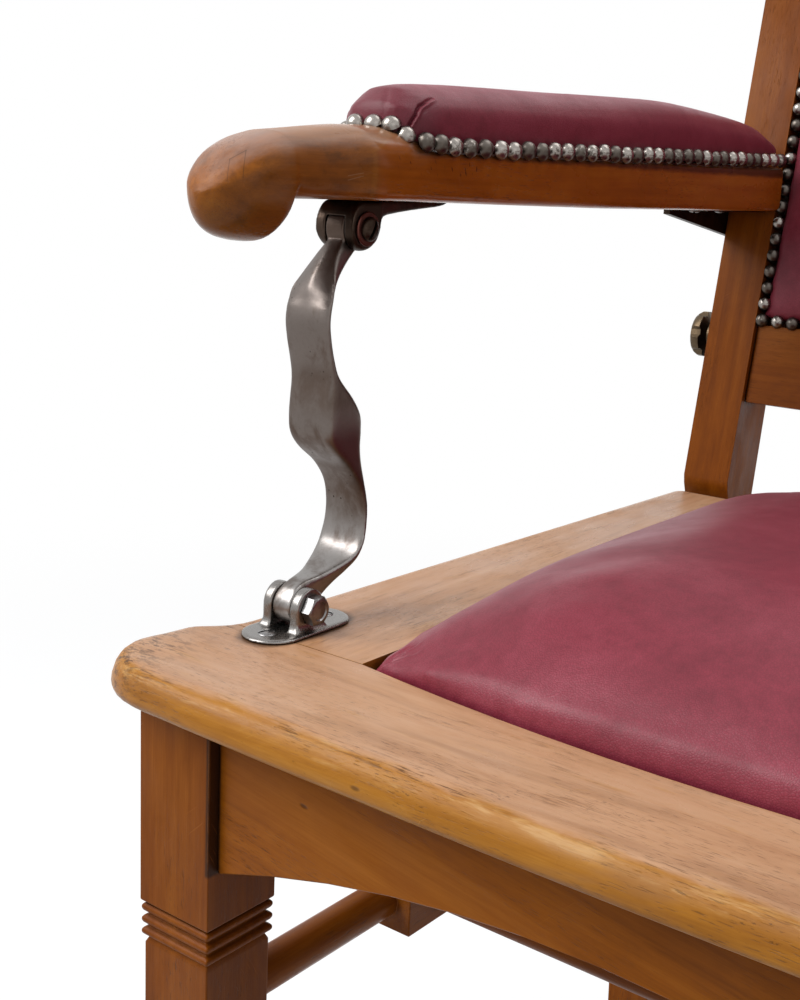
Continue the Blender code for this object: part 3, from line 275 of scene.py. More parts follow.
# %% World
SKY_LIGHT = (0.31, 0.32, 0.34)


def seen_directly(network):
    """1 for rays that show the background: from the camera, from a mirror or through glass."""
    rays = network.add("LightPath").outputs
    kinds = ("Is Camera Ray", "Is Glossy Ray", "Is Transmission Ray")
    return network.most(*(rays[kind] for kind in kinds))


world = bpy.data.worlds.new("studio")
bpy.context.scene.world = world
sky = Nodes(world)
dim = sky.tree.nodes["Background"]
sky.put(dim.inputs["Color"], (*SKY_LIGHT, 1.0))
white = sky.add("Background", {"Color": (1.0, 1.0, 1.0, 1.0)})
choose = sky.add("MixShader", {0: seen_directly(sky), 1: dim.outputs[0], 2: white.outputs[0]})
sky.put(sky.tree.nodes["World Output"].inputs["Surface"], choose.outputs[0])
print("world: white to look at, light", SKY_LIGHT)

# %% [markdown]
# ## Floor and lamps
# The floor mixes some of its own glow with ordinary matt white, so the chair's shadow still shows
# on it, and it goes over to plain white some way off. A large soft box on the left is the main
# light. A weak one opens up the shadows on the right, and one above and behind parts the chair
# from the white.

# %% Floor and lamps
FLOOR_HALF = 9.0
FLOOR_DROP = 0.0005        # the feet stand clear of the floor by this much
FLOOR_GREY = (0.45, 0.45, 0.45, 1.0)
FLOOR_GLOW = 0.62          # near the chair; the rest of the white is the matt floor in the light
SHADOW_ROOM = (0.7, 2.2)   # the floor goes over to plain white between these distances
LAMPS = {                  # place, size of the soft box, watts
    "key": ((-1.35, -1.75, 2.35), 1.9, 68.0),
    "fill": ((1.9, -1.2, 1.3), 1.6, 2.5),
    "top": ((0.3, 1.0, 2.6), 1.6, 16.0),
}
AIM = Vector((0.0, -0.05, 0.55))

bm = bmesh.new()
bmesh.ops.create_grid(bm, x_segments=8, y_segments=8, size=FLOOR_HALF)
floor_mesh = bpy.data.meshes.new("floor")
bm.to_mesh(floor_mesh)
bm.free()
floor = in_scene(bpy.data.objects.new("floor", floor_mesh))
floor.location.z = cad_box[0][2] - FLOOR_DROP

paper = Finish("white_floor")
paper.tree.nodes.remove(paper.shader)
seen = seen_directly(paper)
matt = paper.add("BsdfDiffuse", {"Color": FLOOR_GREY})
glow = paper.add("Emission", {"Strength": paper.times(seen, FLOOR_GLOW)})
near = paper.add("AddShader", {0: matt.outputs[0], 1: glow.outputs[0]})
away = paper.add("VectorMath", {0: paper.place()}, operation="LENGTH").outputs["Value"]
far_share = paper.times(paper.window(away, *SHADOW_ROOM), seen)
plain = paper.add("Emission")
cover = paper.add("MixShader", {0: far_share, 1: near.outputs[0], 2: plain.outputs[0]})
paper.put(paper.tree.nodes["Material Output"].inputs["Surface"], cover.outputs[0])
floor_mesh.materials.append(paper.material)

for name, (spot, size, watts) in LAMPS.items():
    lamp = bpy.data.lights.new(name, "AREA")
    lamp.size = size
    lamp.energy = watts
    soft_box = in_scene(bpy.data.objects.new(name, lamp))
    soft_box.location = spot
    soft_box.rotation_euler = (AIM - Vector(spot)).to_track_quat("-Z", "Y").to_euler()
print("studio: floor and", len(LAMPS), "soft boxes")

# %% [markdown]
# ## Honey wood
# The frame is a close-grained hardwood under old varnish. Seen near, it has four things at four
# sizes: slow clouds of colour, streaks along the grain, short dark pores, and the nicks and
# scratches of a century of use. A wave texture is the quick way to draw wood, but its rings all
# look alike. Stretched noise, long along the grain and fine across it, gives each board its own
# run. The grain's direction is a rotation, so one function serves legs, aprons, arms and the
# leaning back. What only one piece shows, such as a rubbed edge, comes in as `marks`, a function
# that repaints the colour before it reaches the shader.

# %% Wood
lean = Vector((0.0, 0.0306, 0.175)).normalized()     # the back's own upright
GRAIN = {
    "across": Matrix.Identity(3),
    "slanting": Matrix.Rotation(radians(9), 3, "Y"),
    "fore_and_aft": Matrix.Rotation(pi / 2, 3, "Z"),
    "upright": Matrix.Rotation(-pi / 2, 3, "Y"),
    "leaning": lean.to_track_quat("X", "Y").to_matrix(),
}
PORE = (0.050, 0.016, 0.004)
# a dark colour for dirt, and for painted shade in crevices and at the apron joints
GRIME_AND_SHADE = (0.030, 0.011, 0.004)


def wood(name, grain, tones, gloss=0.38, worn=0.5, shine=0.11, marks=None):
    """Varnished wood: grain is a way in GRAIN, tones are three colours from dark to light."""
    deep, light = tones[0], tones[2]
    finish = Finish(name)
    lie = GRAIN[grain].to_euler()
    place = finish.place()

    def along(long, wide):
        return finish.stretch(place, (long, wide, wide), lie)

    cloud = finish.noise(along(0.30, 0.055), 4.0, 0.58, 0.6)
    streak = finish.noise(along(0.20, 0.0055), 5.0, 0.66, 0.35)
    mottle = finish.noise(along(0.040, 0.012), 5.0, 0.66, 0.5)
    fibre = finish.noise(along(0.022, 0.0006), 2.0, 0.6)
    tone = finish.plus(
        finish.times(cloud, 0.46), finish.times(streak, 0.30), finish.times(mottle, 0.24)
    )
    colour = finish.three_tones(tone, tones)
    colour = finish.paint(colour, deep, finish.window(fibre, 0.35, 0.75, 0.0, 0.22))
    if marks:
        colour = marks(finish, place, along, colour, tone)
    pore = finish.noise(along(0.0070, 0.00050), 1.0, 0.5, 0.2)
    field = finish.noise(along(0.10, 0.030), 2.0)
    pores = finish.times(finish.window(pore, 0.61, 0.72), finish.window(field, 0.38, 0.62))
    colour = finish.paint(colour, PORE, pores, 0.50)
    rubbed = finish.noise(along(0.020, 0.008), 4.0, 0.65)
    edge = finish.times(finish.edges(0.0022), finish.window(rubbed, 0.42, 0.62))
    colour = finish.paint(colour, light, edge, worn)
    dents = finish.cells(along(0.030, 0.012))
    nick = finish.times(
        finish.window(dents["Distance"], 0.11, 0.04), finish.chosen(dents, "Red", 0.86, 0.90)
    )
    colour = finish.paint(colour, GRIME_AND_SHADE, nick, 0.7)
    scuffed = finish.noise(finish.stretch(place, 0.050), 2.0)
    hair = finish.noise(finish.stretch(place, (0.016, 0.0005, 0.016), (0.5, 0.4, 0.7)), 1.0, 0.4)
    scratch = finish.times(finish.window(hair, 0.70, 0.78), finish.window(scuffed, 0.52, 0.62))
    colour = finish.paint(colour, light, scratch, 0.45)
    # painted shade: the colour darkens in corners and under overhangs
    colour = finish.paint(colour, GRIME_AND_SHADE, finish.crevice_shade(0.008), 0.72)
    height = finish.less(
        finish.times(streak, 0.5), pores, finish.times(nick, 2.0), finish.times(scratch, 0.6)
    )
    dull = finish.noise(along(0.06, 0.03), 4.0, 0.6)
    return finish.shade({
        "Base Color": colour,
        "Roughness": finish.window(dull, 0.3, 0.7, gloss - 0.10, gloss + 0.14),
        "Specular IOR Level": shine,
        "Normal": finish.bump(height, 0.00025, 0.5),
    })


BROWN = ((0.120, 0.0270, 0.0018), (0.222, 0.0570, 0.0030), (0.320, 0.0980, 0.0100))
BARE = ((0.300, 0.170, 0.080), (0.420, 0.260, 0.130), (0.520, 0.350, 0.200))
frame_wood = {way: wood("frame_wood_" + way, way, BROWN) for way in GRAIN if way != "slanting"}
bare_wood = wood("bare_board", "fore_and_aft", BARE, gloss=0.68)
bare_panel = wood("bare_panel", "leaning", BROWN, gloss=0.55)
print("wood finishes:", [m.name for m in (*frame_wood.values(), bare_wood, bare_panel)])

# %% [markdown]
# ## Painted shade beside the front legs
# Where the front apron meets each leg, the joint and the leg's rounded edge lie in shade, and that
# shade is painted as a dark line. A real gap in the mesh would be thinner than anyone could see, so
# the line is painted on both sides of the joint: its place comes from the boxes of the leg and the
# apron. The apron's grain runs a little downhill, as in a board that was sawn aslant.

# %% Apron and front legs
GOLDEN = ((0.150, 0.0370, 0.0022), (0.300, 0.0840, 0.0040), (0.400, 0.1300, 0.0120))
APRON_SHADE_LINE = (-0.0020, -0.0010)      # the painted shade line begins and is full at these distances from the leg
LEG_SHADE_LINE = (0.0024, 0.0012)
LINE_END = 0.001
leg_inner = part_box("front_right_leg")[0].x
apron_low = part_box("front_apron")[0].z


def joint_shade(finish, across, begins_and_full):
    begins, full = begins_and_full
    return finish.window(finish.absolute(across), leg_inner + begins, leg_inner + full)


def apron_marks(finish, place, along, colour, tone):
    # painted shade on the apron's end, at the joint with the leg
    line = joint_shade(finish, finish.parts(place)["X"], APRON_SHADE_LINE)
    return finish.paint(colour, GRIME_AND_SHADE, line, 0.92)


def leg_marks(finish, place, along, colour, tone):
    at = finish.parts(place)
    beside_apron = finish.window(at["Z"], apron_low - LINE_END, apron_low + LINE_END)
    # painted shade along the leg's inner edge, beside the apron
    line = joint_shade(finish, at["X"], LEG_SHADE_LINE)
    return finish.paint(colour, GRIME_AND_SHADE, line, beside_apron, 0.90)


front_leg_wood = wood("front_leg_wood", "upright", BROWN, marks=leg_marks)
apron_wood = wood("apron_wood", "slanting", GOLDEN, marks=apron_marks)
print("joints painted at x = %.4f" % leg_inner, "on", apron_wood.name, front_leg_wood.name)

# %% [markdown]
# ## The seat's own marks
# On the seat boards the varnish has gone hazy on top, a colour that is also a painted sheen, and
# has rubbed through to yellow on the rounded front edge, in streaks that are partly painted
# highlights, with a line of dirt between the two and dark speckles where knees and feet have
# knocked the corners. The wood is also darker round the flanges of the arm supports. All of it is
# told apart by the way the surface faces and by where it lies on the seat, so it stays put from any
# side.

# %% Seat wood
HONEY = ((0.230, 0.0720, 0.0060), (0.430, 0.1700, 0.0180), (0.580, 0.2750, 0.0500))
HAZE_AND_SHEEN = ((0.400, 0.190, 0.090), (0.560, 0.305, 0.165), (0.640, 0.385, 0.230))
SMUDGE, RUBBED_YELLOW_AND_GLEAM = (0.310, 0.150, 0.070), (0.660, 0.390, 0.150)
FRONT_EDGE = (-0.270, -0.312)        # y over which the knocks of the front edge set in
CORNER_RUN = (0.205, 0.252)          # x over which those of the corners do
FLANGE_ACROSS = (0.2115, 0.0158)     # middle and reach of the darkening round a flange
FLANGE_ALONG = (-0.2451, 0.0318)
FLANGE_CORNER = 2.4


def seat_marks(finish, place, along, colour, tone):
    at = finish.parts(place)
    beside = finish.absolute(at["X"])
    ragged = finish.noise(along(0.030, 0.006), 4.0, 0.7)
    facing = finish.plus(finish.facing_up(), finish.times(finish.less(ragged, 0.5), 0.35))
    # hazy varnish on top, painted lighter also as a sheen of the sky
    haze_and_sheen = finish.three_tones(tone, HAZE_AND_SHEEN)
    colour = finish.paint(colour, haze_and_sheen, finish.window(facing, 0.80, 0.99))
    smudge = finish.noise(along(0.15, 0.022), 4.0, 0.62, 0.5)
    colour = finish.paint(colour, SMUDGE, finish.window(smudge, 0.50, 0.70, 0.0, 0.45))
    edge_line = finish.band(facing, (0.45, 0.80), (1.04, 0.90))
    broken = finish.window(finish.noise(along(0.045, 0.020), 3.0, 0.6), 0.42, 0.60)
    dark_line = finish.window(finish.noise(along(0.016, 0.0012), 4.0, 0.7), 0.50, 0.64)
    colour = finish.paint(colour, PORE, edge_line, dark_line, broken, 0.75)
    # yellow wear on the rounded front edge, in lighter streaks that are partly painted gloss
    # highlights
    gleam = finish.noise(along(0.034, 0.0045), 4.0, 0.68, 0.3)
    rounded_edge_band = finish.band(facing, (0.30, 0.60), (1.02, 0.85))
    gleam = finish.window(gleam, 0.50, 0.68, 0.0, 0.55)
    colour = finish.paint(colour, RUBBED_YELLOW_AND_GLEAM, gleam, rounded_edge_band)
    front = finish.window(at["Y"], *FRONT_EDGE)
    chips = finish.window(finish.noise(along(0.0055, 0.0016), 4.0, 0.75), 0.60, 0.70)
    crowd = finish.window(finish.noise(along(0.05, 0.02), 2.0), 0.45, 0.60)
    colour = finish.paint(colour, GRIME_AND_SHADE, chips, crowd, front, 0.60)
    corner = finish.window(beside, *CORNER_RUN)
    speckle = finish.window(finish.noise(along(0.008, 0.0030), 5.0, 0.75), 0.48, 0.62)
    colour = finish.paint(colour, GRIME_AND_SHADE, corner, front, speckle, 0.85)
    # the wood is darker round each flange
    shares = []
    for value, (centre, reach) in ((beside, FLANGE_ACROSS), (at["Y"], FLANGE_ALONG)):
        share = finish.absolute(finish.math("DIVIDE", finish.less(value, centre), reach))
        shares.append(finish.math("POWER", share, FLANGE_CORNER))
    away = finish.plus(*shares, finish.times(ragged, 0.7))
    return finish.paint(colour, GRIME_AND_SHADE, finish.window(away, 1.85, 1.25, 0.0, 0.75))


seat_wood = {
    way: wood("seat_wood_" + way, way, HONEY, gloss=0.33, shine=0.18, marks=seat_marks)
    for way in ("across", "fore_and_aft")
}
print("seat wood:", [m.name for m in seat_wood.values()])

# %% [markdown]
# ## The arms' own marks
# The scroll under the hand is worn to a pale honey, with a painted sheen of the sky where it faces
# up, and the arm is painted darker towards its underside as shade. Behind the scroll the bar is
# redder and darker, with a dark line and small knocks under the nails. Two faint scrapes cross the
# scroll, and three hairlines on the inner face show where an old repair was let in. A hairline is a
# plane through the wood: the distance from it, kept within limits, is the line.

# %% Arm wood
AMBER = ((0.120, 0.0330, 0.0030), (0.350, 0.1070, 0.0120), (0.500, 0.1850, 0.0280))
RED_BROWN = ((0.210, 0.0450, 0.0026), (0.365, 0.0920, 0.0055), (0.480, 0.1480, 0.0120))
# a real dark stain, and the colour of the painted shade under the arm
DARK_STAIN, UNDERSIDE_SHADE = (0.090, 0.032, 0.008), (0.110, 0.036, 0.0060)
# colours of the painted sheen of the sky on surfaces that face up
SKY_SHEEN, TIP_SKY_SHEEN = (0.410, 0.220, 0.125), (0.400, 0.265, 0.215)
SCRAPED = (0.480, 0.290, 0.170)
NECK_LINE = -0.2265        # where the scroll's colour ends and the bar's begins
NAIL_LINE = 0.7215         # height of the dark line under the nails
KNOCKS = (("Y", -0.214, -0.150), ("Z", 0.7125, 0.7205))    # limits of the knocks on the bar
SCRAPES = ((0.22, 0.7096), (0.16, 0.7112))                 # slope and height at the scroll
SCRAPE_AT, SCRAPE_RUN = -0.2400, (-0.2440, -0.2350)        # y of that height, and of their ends
UNDERSIDE_SHADE_FROM = (0.712, 0.690)      # heights over which painted shade darkens the underside
TIP_FROM = (-0.262, -0.290)          # y over which the painted sheen turns grey towards the tip
NAILED_FROM = (-0.205, -0.195)       # y over which the dark line under the nails sets in
SLANT = (-0.796, 0.605)              # the way along the repair, in x and y
REPAIR_ENDS = (-0.3455, -0.3392)     # the patch ends here, along the slant
REPAIR_SIDES = ((0.7065, 0.7152), (0.7080, 0.7190))        # heights of its two ends
REPAIR_TOP = (-0.3447, 0.7156, 0.60)                       # place, height and slope of its top
INNER_FACE = (0.1800, 0.2062)        # x of the arm's inner face, which alone shows the patch


def thin_line(finish, distance, *limits):
    """A hairline where a distance is nil, kept inside (value, low, high) limits."""
    line = finish.window(finish.absolute(distance), 0.00030, 0.00008)
    for value, low, high in limits:
        inside = finish.band(value, (low - 0.0004, low), (high + 0.0004, high))
        line = finish.times(line, inside)
    return line


def arm_marks(finish, place, along, colour, tone):
    at = finish.parts(place)
    ragged = finish.less(finish.noise(along(0.020, 0.006), 4.0, 0.7), 0.5)
    ragged_by = finish.times(ragged, 0.004)
    over = finish.most(finish.less(at["Z"], NAIL_LINE), 0.0)
    y = finish.plus(finish.less(at["Y"], finish.times(over, 2.4)), ragged_by)
    bar = finish.window(y, NECK_LINE - 0.002, NECK_LINE + 0.002)
    from_neck = finish.absolute(finish.less(y, NECK_LINE - 0.002))
    stain = finish.noise(along(0.030, 0.016), 5.0, 0.65, 0.6)
    colour = finish.paint(colour, DARK_STAIN, finish.window(stain, 0.52, 0.70, 0.0, 0.6))
    # painted shade: the arm darkens towards its underside
    colour = finish.paint(colour, UNDERSIDE_SHADE, finish.window(at["Z"], *UNDERSIDE_SHADE_FROM, 0.0, 0.55))
    colour = finish.paint(colour, finish.three_tones(tone, RED_BROWN), bar)
    colour = finish.paint(colour, AMBER[2], finish.window(from_neck, 0.002, 0.0005), 0.18)
    # painted sheen: surfaces that face up are painted lighter, as a reflection of the sky
    facing = finish.plus(finish.facing_up(), finish.times(ragged, 0.35))
    sky_sheen = finish.mix(finish.window(at["Y"], *TIP_FROM), SKY_SHEEN, TIP_SKY_SHEEN)
    colour = finish.paint(colour, sky_sheen, finish.window(facing, 0.52, 0.94, 0.0, 0.66))
    # a dark line on the wood just under the nails
    dark_line_at = finish.plus(at["Z"], ragged_by)
    dark_line = finish.window(dark_line_at, NAIL_LINE - 0.0020, NAIL_LINE + 0.001)
    nailed = finish.window(at["Y"], *NAILED_FROM)
    colour = finish.paint(colour, GRIME_AND_SHADE, dark_line, bar, nailed, 0.80)
    dots = finish.noise(finish.stretch(place, (0.0013, 0.0013, 0.0040), (0.3, 0.0, 0.0)), 1.0)
    knocks = finish.window(dots, 0.64, 0.72)
    for axis, low, high in KNOCKS:
        inside = finish.band(at[axis], (low - 0.002, low + 0.002), (high + 0.002, high - 0.002))
        knocks = finish.times(knocks, inside)
    colour = finish.paint(colour, GRIME_AND_SHADE, knocks, 0.75)
    for slope, height in SCRAPES:
        fall = finish.times(finish.less(at["Y"], SCRAPE_AT), slope)
        scrape = thin_line(finish, finish.less(at["Z"], height, fall), (at["Y"], *SCRAPE_RUN))
        colour = finish.paint(colour, SCRAPED, scrape, 0.35)
    beside = finish.absolute(at["X"])
    slant = finish.plus(finish.times(beside, SLANT[0]), finish.times(at["Y"], SLANT[1]))
    top_at, top_height, top_slope = REPAIR_TOP
    top = finish.less(at["Z"], top_height, finish.times(finish.less(slant, top_at), top_slope))
    joints = [(finish.less(slant, end), (at["Z"], *heights))
              for end, heights in zip(REPAIR_ENDS, REPAIR_SIDES)]
    for distance, limit in (*joints, (top, (slant, *REPAIR_ENDS))):
        repair = thin_line(finish, distance, limit, (beside, *INNER_FACE))
        colour = finish.paint(colour, GRIME_AND_SHADE, repair, 0.45)
    return colour


arm_wood = wood(
    "arm_wood", "fore_and_aft", AMBER, gloss=0.24, worn=0.35, shine=0.16, marks=arm_marks
)
print("arm wood:", arm_wood.name)

# %% [markdown]
# ## Burgundy leather
# The cushions wear a soft waxed hide. Close to, its skin is a net of tiny creases round pebbles
# about a millimetre wide. From a step away one sees slow mottling, a milky sheen where the light
# grazes it, and the noses of the arm cushions painted darker as shade. The pebbles are Voronoi
# cells: the distance to the nearest cell edge is the crease. They go into the bump, because a real
# crease is a tenth of a millimetre deep and would need millions of faces.

# %% Leather
BURGUNDY = ((0.180, 0.0170, 0.0320), (0.245, 0.0265, 0.0470), (0.305, 0.0430, 0.0690))
CREASE, NOSE_SHADE = (0.085, 0.008, 0.013), (0.100, 0.010, 0.018)
PEBBLE, PEBBLE_DRIFT = 0.00115, 0.0011
NOSE_FROM, NOSE_ABOVE = (-0.178, -0.198), (0.60, 0.65)     # y and z over which painted shade darkens the nose


def leather(name):
    hide = Finish(name)
    place = hide.place()
    wander = hide.noise(hide.stretch(place, 0.004), 1.0, output="Color")
    drift = hide.add("VectorMath", {0: wander, 1: (PEBBLE_DRIFT,) * 3}, operation="MULTIPLY")
    bent = hide.add("VectorMath", {0: place, 1: drift.outputs[0]}, operation="ADD").outputs[0]
    pebble = hide.cells(hide.stretch(bent, PEBBLE), "DISTANCE_TO_EDGE")
    crease = hide.window(pebble["Distance"], 0.0, 0.22)
    mottle = hide.noise(hide.stretch(place, 0.055), 5.0, 0.62, 0.3)
    fleck = hide.noise(hide.stretch(place, 0.006), 3.0, 0.6)
    tone = hide.plus(hide.times(mottle, 0.7), hide.times(fleck, 0.3))
    colour = hide.three_tones(tone, BURGUNDY)
    colour = hide.paint(colour, CREASE, hide.window(crease, 0.0, 1.0, 0.30, 0.0))
    at = hide.parts(place)
    # painted shade: the noses of the arm cushions are darker
    nose = hide.times(hide.window(at["Y"], *NOSE_FROM), hide.window(at["Z"], *NOSE_ABOVE))
    colour = hide.paint(colour, NOSE_SHADE, nose, 0.60)
    height = hide.plus(crease, hide.times(fleck, 0.8))
    return hide.shade({
        "Base Color": colour,
        "Roughness": hide.window(mottle, 0.3, 0.7, 0.50, 0.38),
        "Specular IOR Level": 0.34,
        "Sheen Weight": 0.06,
        "Sheen Roughness": 0.35,
        "Sheen Tint": (0.95, 0.55, 0.65),
        "Normal": hide.bump(height, 0.00012, 0.36),
    })


burgundy = leather("burgundy_leather")
print("leather:", burgundy.name)

# %% [markdown]
# ## Worn nickel, dark bronze and old nail heads
# The castings were nickel plated and have been handled ever since: the plate is grey and satin,
# clouded with brown, and peppered with small dark pits where rust came through. The clouds change
# both colour and roughness, because tarnish is dull as well as dark. The nails were brassed and
# nickelled: on some the plate is bright, on others it is gone. One material serves them all, and a
# number stored on each nail says how much plate is left.

# %% Metals
PIT = (0.030, 0.020, 0.014)


def metal(name, bright, tarnish, polish, spots=1.0, kept=None, brown=(0.48, 0.68), dusk=None,
          foot=None, rusty=()):
    """A plated metal. Kept names an attribute that says how much plate is left, brown is the
    share of tarnish, dusk gives two heights between which the plate goes over to tarnish, partly as
    painted shade, and foot a lighter colour, a painted reflection, with the heights between which
    it fades upwards. Rusty lists bands of height that are browner."""
    plate = Finish(name)
    place = plate.place()
    cloud = plate.noise(plate.stretch(place, (0.020, 0.020, 0.034)), 6.0, 0.62, 0.4)
    grit = plate.noise(plate.stretch(place, 0.0018), 4.0, 0.7)
    stain = plate.window(cloud, *brown)
    if kept:
        left = plate.add("Attribute", attribute_name=kept).outputs["Fac"]
        patchy = plate.plus(left, plate.times(plate.less(grit, 0.5), 1.6))
        stain = plate.window(patchy, 0.62, 0.38)
    if dusk:
        clouded = plate.plus(plate.parts(place)["Z"], plate.times(cloud, 0.020))
        stain = plate.most(stain, plate.window(clouded, *dusk))
    for low, high in rusty:
        inside = plate.band(plate.parts(place)["Z"], (low - 0.008, low + 0.004),
                            (high + 0.008, high - 0.004))
        rust = plate.times(inside, plate.window(cloud, 0.36, 0.56, 0.15, 0.75))
        stain = plate.most(stain, rust)
    pits = plate.cells(plate.stretch(place, 0.0030))
    crowd = plate.noise(plate.stretch(place, (0.030, 0.030, 0.022)), 2.0)
    few = plate.times(plate.chosen(pits, "Green", 0.62, 0.70), plate.window(crowd, 0.50, 0.62))
    pit = plate.times(plate.window(pits["Distance"], 0.20, 0.09), few, spots)
    # painted light and shade: less tarnish where the plate faces up, more where it faces down
    stain = plate.plus(stain, plate.window(plate.facing_up(), 0.6, -0.6, -0.20, 0.45))
    stain = plate.math("MINIMUM", plate.most(stain, 0.0), 1.0)
    base = bright
    if foot:
        light, low, high = foot
        clouded = plate.plus(plate.parts(place)["Z"], plate.times(cloud, 0.03))
        base = plate.mix(plate.window(clouded, low, high), light, bright)
    colour = plate.paint(base, tarnish, stain, 0.85)
    # edges show the bright plate where it is rubbed, which also paints their thin highlights
    colour = plate.paint(colour, bright, plate.edges(0.0008), 0.45)
    colour = plate.paint(colour, tarnish, plate.window(grit, 0.45, 0.80, 0.0, 0.18))
    colour = plate.paint(colour, PIT, pit)
    rough = plate.window(grit, 0.3, 0.7, polish - 0.03, polish + 0.03)
    return plate.shade({
        "Base Color": colour,
        "Metallic": 1.0,
        "Roughness": plate.plus(rough, plate.times(stain, 0.10), plate.times(pit, 0.35)),
        "Normal": plate.bump(plate.less(plate.times(grit, 0.10), pit), 0.00012, 0.4),
    })


# the supports: tarnish and painted shade darken the top eye under the arm, and a painted reflection
# lightens the foot
nickel = metal(
    "worn_nickel", (0.168, 0.143, 0.130), (0.080, 0.052, 0.038), 0.33, dusk=(0.676, 0.700),
    foot=((0.300, 0.286, 0.276), 0.530, 0.585), rusty=((0.550, 0.576), (0.606, 0.622)),
)
bright_nickel = metal(
    "bright_nickel", (0.250, 0.238, 0.228), (0.120, 0.092, 0.074), 0.27, brown=(0.55, 0.75)
)
browned = metal(
    "browned_iron", (0.072, 0.050, 0.038), (0.026, 0.016, 0.011), 0.33, 0.6, brown=(0.30, 0.55)
)
bronze = metal("dark_bronze", (0.120, 0.085, 0.052), (0.050, 0.034, 0.022), 0.36, 0.4)
rust_red = metal("rust_red", (0.110, 0.038, 0.030), (0.060, 0.018, 0.014), 0.40, 0.4)
steel = metal("screw_steel", (0.260, 0.255, 0.255), (0.100, 0.074, 0.060), 0.28)
nail_plate = metal(
    "nail_plate", (0.330, 0.302, 0.276), (0.046, 0.034, 0.025), 0.26, 0.0, kept="plate_left"
)
print("metals:", [m.name for m in (nickel, bright_nickel, browned, bronze, rust_red, steel,
                                   nail_plate)])

# %% [markdown]
# ## Wood that keeps its own shape
# Boards, legs, aprons, stretchers and the back's frame are right as they come. Real wood has no
# knife edges, though, so each gets a narrow rounded edge. The solids arrive cut into triangles that
# are split along their edges, so a Weld modifier closes them first, Bevel then rounds the corners
# that are sharp, and Weighted Normal keeps the broad faces flat in the light.

# %% Dress the wooden solids
SIDES = {"left": -1, "right": 1}
WELD_REACH, SHARP = 0.00002, radians(35.0)


def dress(piece, material):
    piece.data.materials.clear()
    piece.data.materials.append(material)


def soften(name, material, edge):
    """Round the sharp edges of a kept solid and give it its finish."""
    piece = nodes[name]
    piece.modifiers.new("close", "WELD").merge_threshold = WELD_REACH
    bevel = piece.modifiers.new("ease", "BEVEL")
    bevel.width = edge
    bevel.segments = 3
    bevel.limit_method = "ANGLE"
    bevel.angle_limit = SHARP
    piece.modifiers.new("flats", "WEIGHTED_NORMAL").keep_sharp = False
    for polygon in piece.data.polygons:
        polygon.use_smooth = True
    dress(piece, material)


WOOD_NODES = {
    "seat_front_board": (seat_wood["across"], 0.0006),
    "seat_rear_board": (seat_wood["across"], 0.0006),
    "front_apron": (apron_wood, 0.0010),
    "rear_apron": (frame_wood["across"], 0.0010),
    "cross_stretcher": (frame_wood["across"], 0.0010),
    "back_top_rail": (frame_wood["across"], 0.0022),
    "back_bottom_rail": (frame_wood["across"], 0.0018),
    "headrest_board": (frame_wood["across"], 0.0018),
    "seat_pad_base": (bare_wood, 0.0006),
    "back_panel": (bare_panel, 0.0006),
}
for side in SIDES:
    WOOD_NODES.update({
        f"seat_{side}_board": (seat_wood["fore_and_aft"], 0.0006),
        f"{side}_apron": (frame_wood["fore_and_aft"], 0.0010),
        f"{side}_stretcher": (frame_wood["fore_and_aft"], 0.0010),
        f"{side}_back_stile": (frame_wood["leaning"], 0.0022),
        f"{side}_pad_ledge": (bare_wood, 0.0008),
        f"front_{side}_leg": (front_leg_wood, 0.0008),
        f"rear_{side}_leg": (frame_wood["upright"], 0.0008),
    })
for name, (material, edge) in WOOD_NODES.items():
    soften(name, material, edge)
print("dressed", len(WOOD_NODES), "wooden solids")

# %% [markdown]
# ## Tools for shaping
# Three tools make every new piece here. `through` runs a smooth curve through a few rows of
# numbers, `ring` draws a rounded rectangle in space, and `skin` covers a row of such rings, which
# is how a loft is made. `mount` says which body a finished piece rides on, and which plain solids
# it stands for.

# %% Shaping tools
def through(rows, steps):
    """Rows of a smooth curve through the given rows."""
    rows = [Vector(row) for row in rows]
    ends = [2 * rows[0] - rows[1], *rows, 2 * rows[-1] - rows[-2]]
    path = []
    for a, b, c, d in zip(ends, ends[1:], ends[2:], ends[3:]):
        for i in range(steps):
            t = i / steps
            path.append(0.5 * (2 * b + (c - a) * t + (2 * a - 5 * b + 4 * c - d) * t * t
                               + (3 * b - a - 3 * c + d) * t**3))
    return [*path, rows[-1]]


def ring(centre, across, rise, fall, upper, lower, count):
    """A rounded rectangle of points; a higher squareness, above or below, makes tighter corners."""
    points = []
    for i in range(count):
        angle = 2 * pi * (i + 0.5) / count
        c, s = cos(angle), sin(angle)
        power = 2 / (upper if s > 0 else lower)
        u = abs(c) ** power * (1 if c > 0 else -1)
        v = abs(s) ** power
        points.append(centre + across * u + (rise * v if s > 0 else -fall * v))
    return points


def walls(bm, loops):
    """Faces between each loop of points and the next."""
    for lower, upper in zip(loops, loops[1:]):
        for i in range(len(lower)):
            bm.faces.new((lower[i - 1], lower[i], upper[i], upper[i - 1]))


def skin(rings):
    """A closed bmesh over rings of points."""
    bm = bmesh.new()
    loops = [[bm.verts.new(point) for point in points] for points in rings]
    walls(bm, loops)
    bm.faces.new(loops[0])
    bm.faces.new(loops[-1])
    return bm


def new_piece(name, bm, material, smooth=35.0):
    """A mesh object from a bmesh, shaded smooth but for corners sharper than the angle."""
    bmesh.ops.recalc_face_normals(bm, faces=bm.faces)
    mesh = bpy.data.meshes.new(name)
    bm.to_mesh(mesh)
    bm.free()
    mesh.shade_smooth()
    mesh.set_sharp_from_angle(angle=radians(smooth))
    mesh.materials.append(material)
    return in_scene(bpy.data.objects.new(name, mesh))


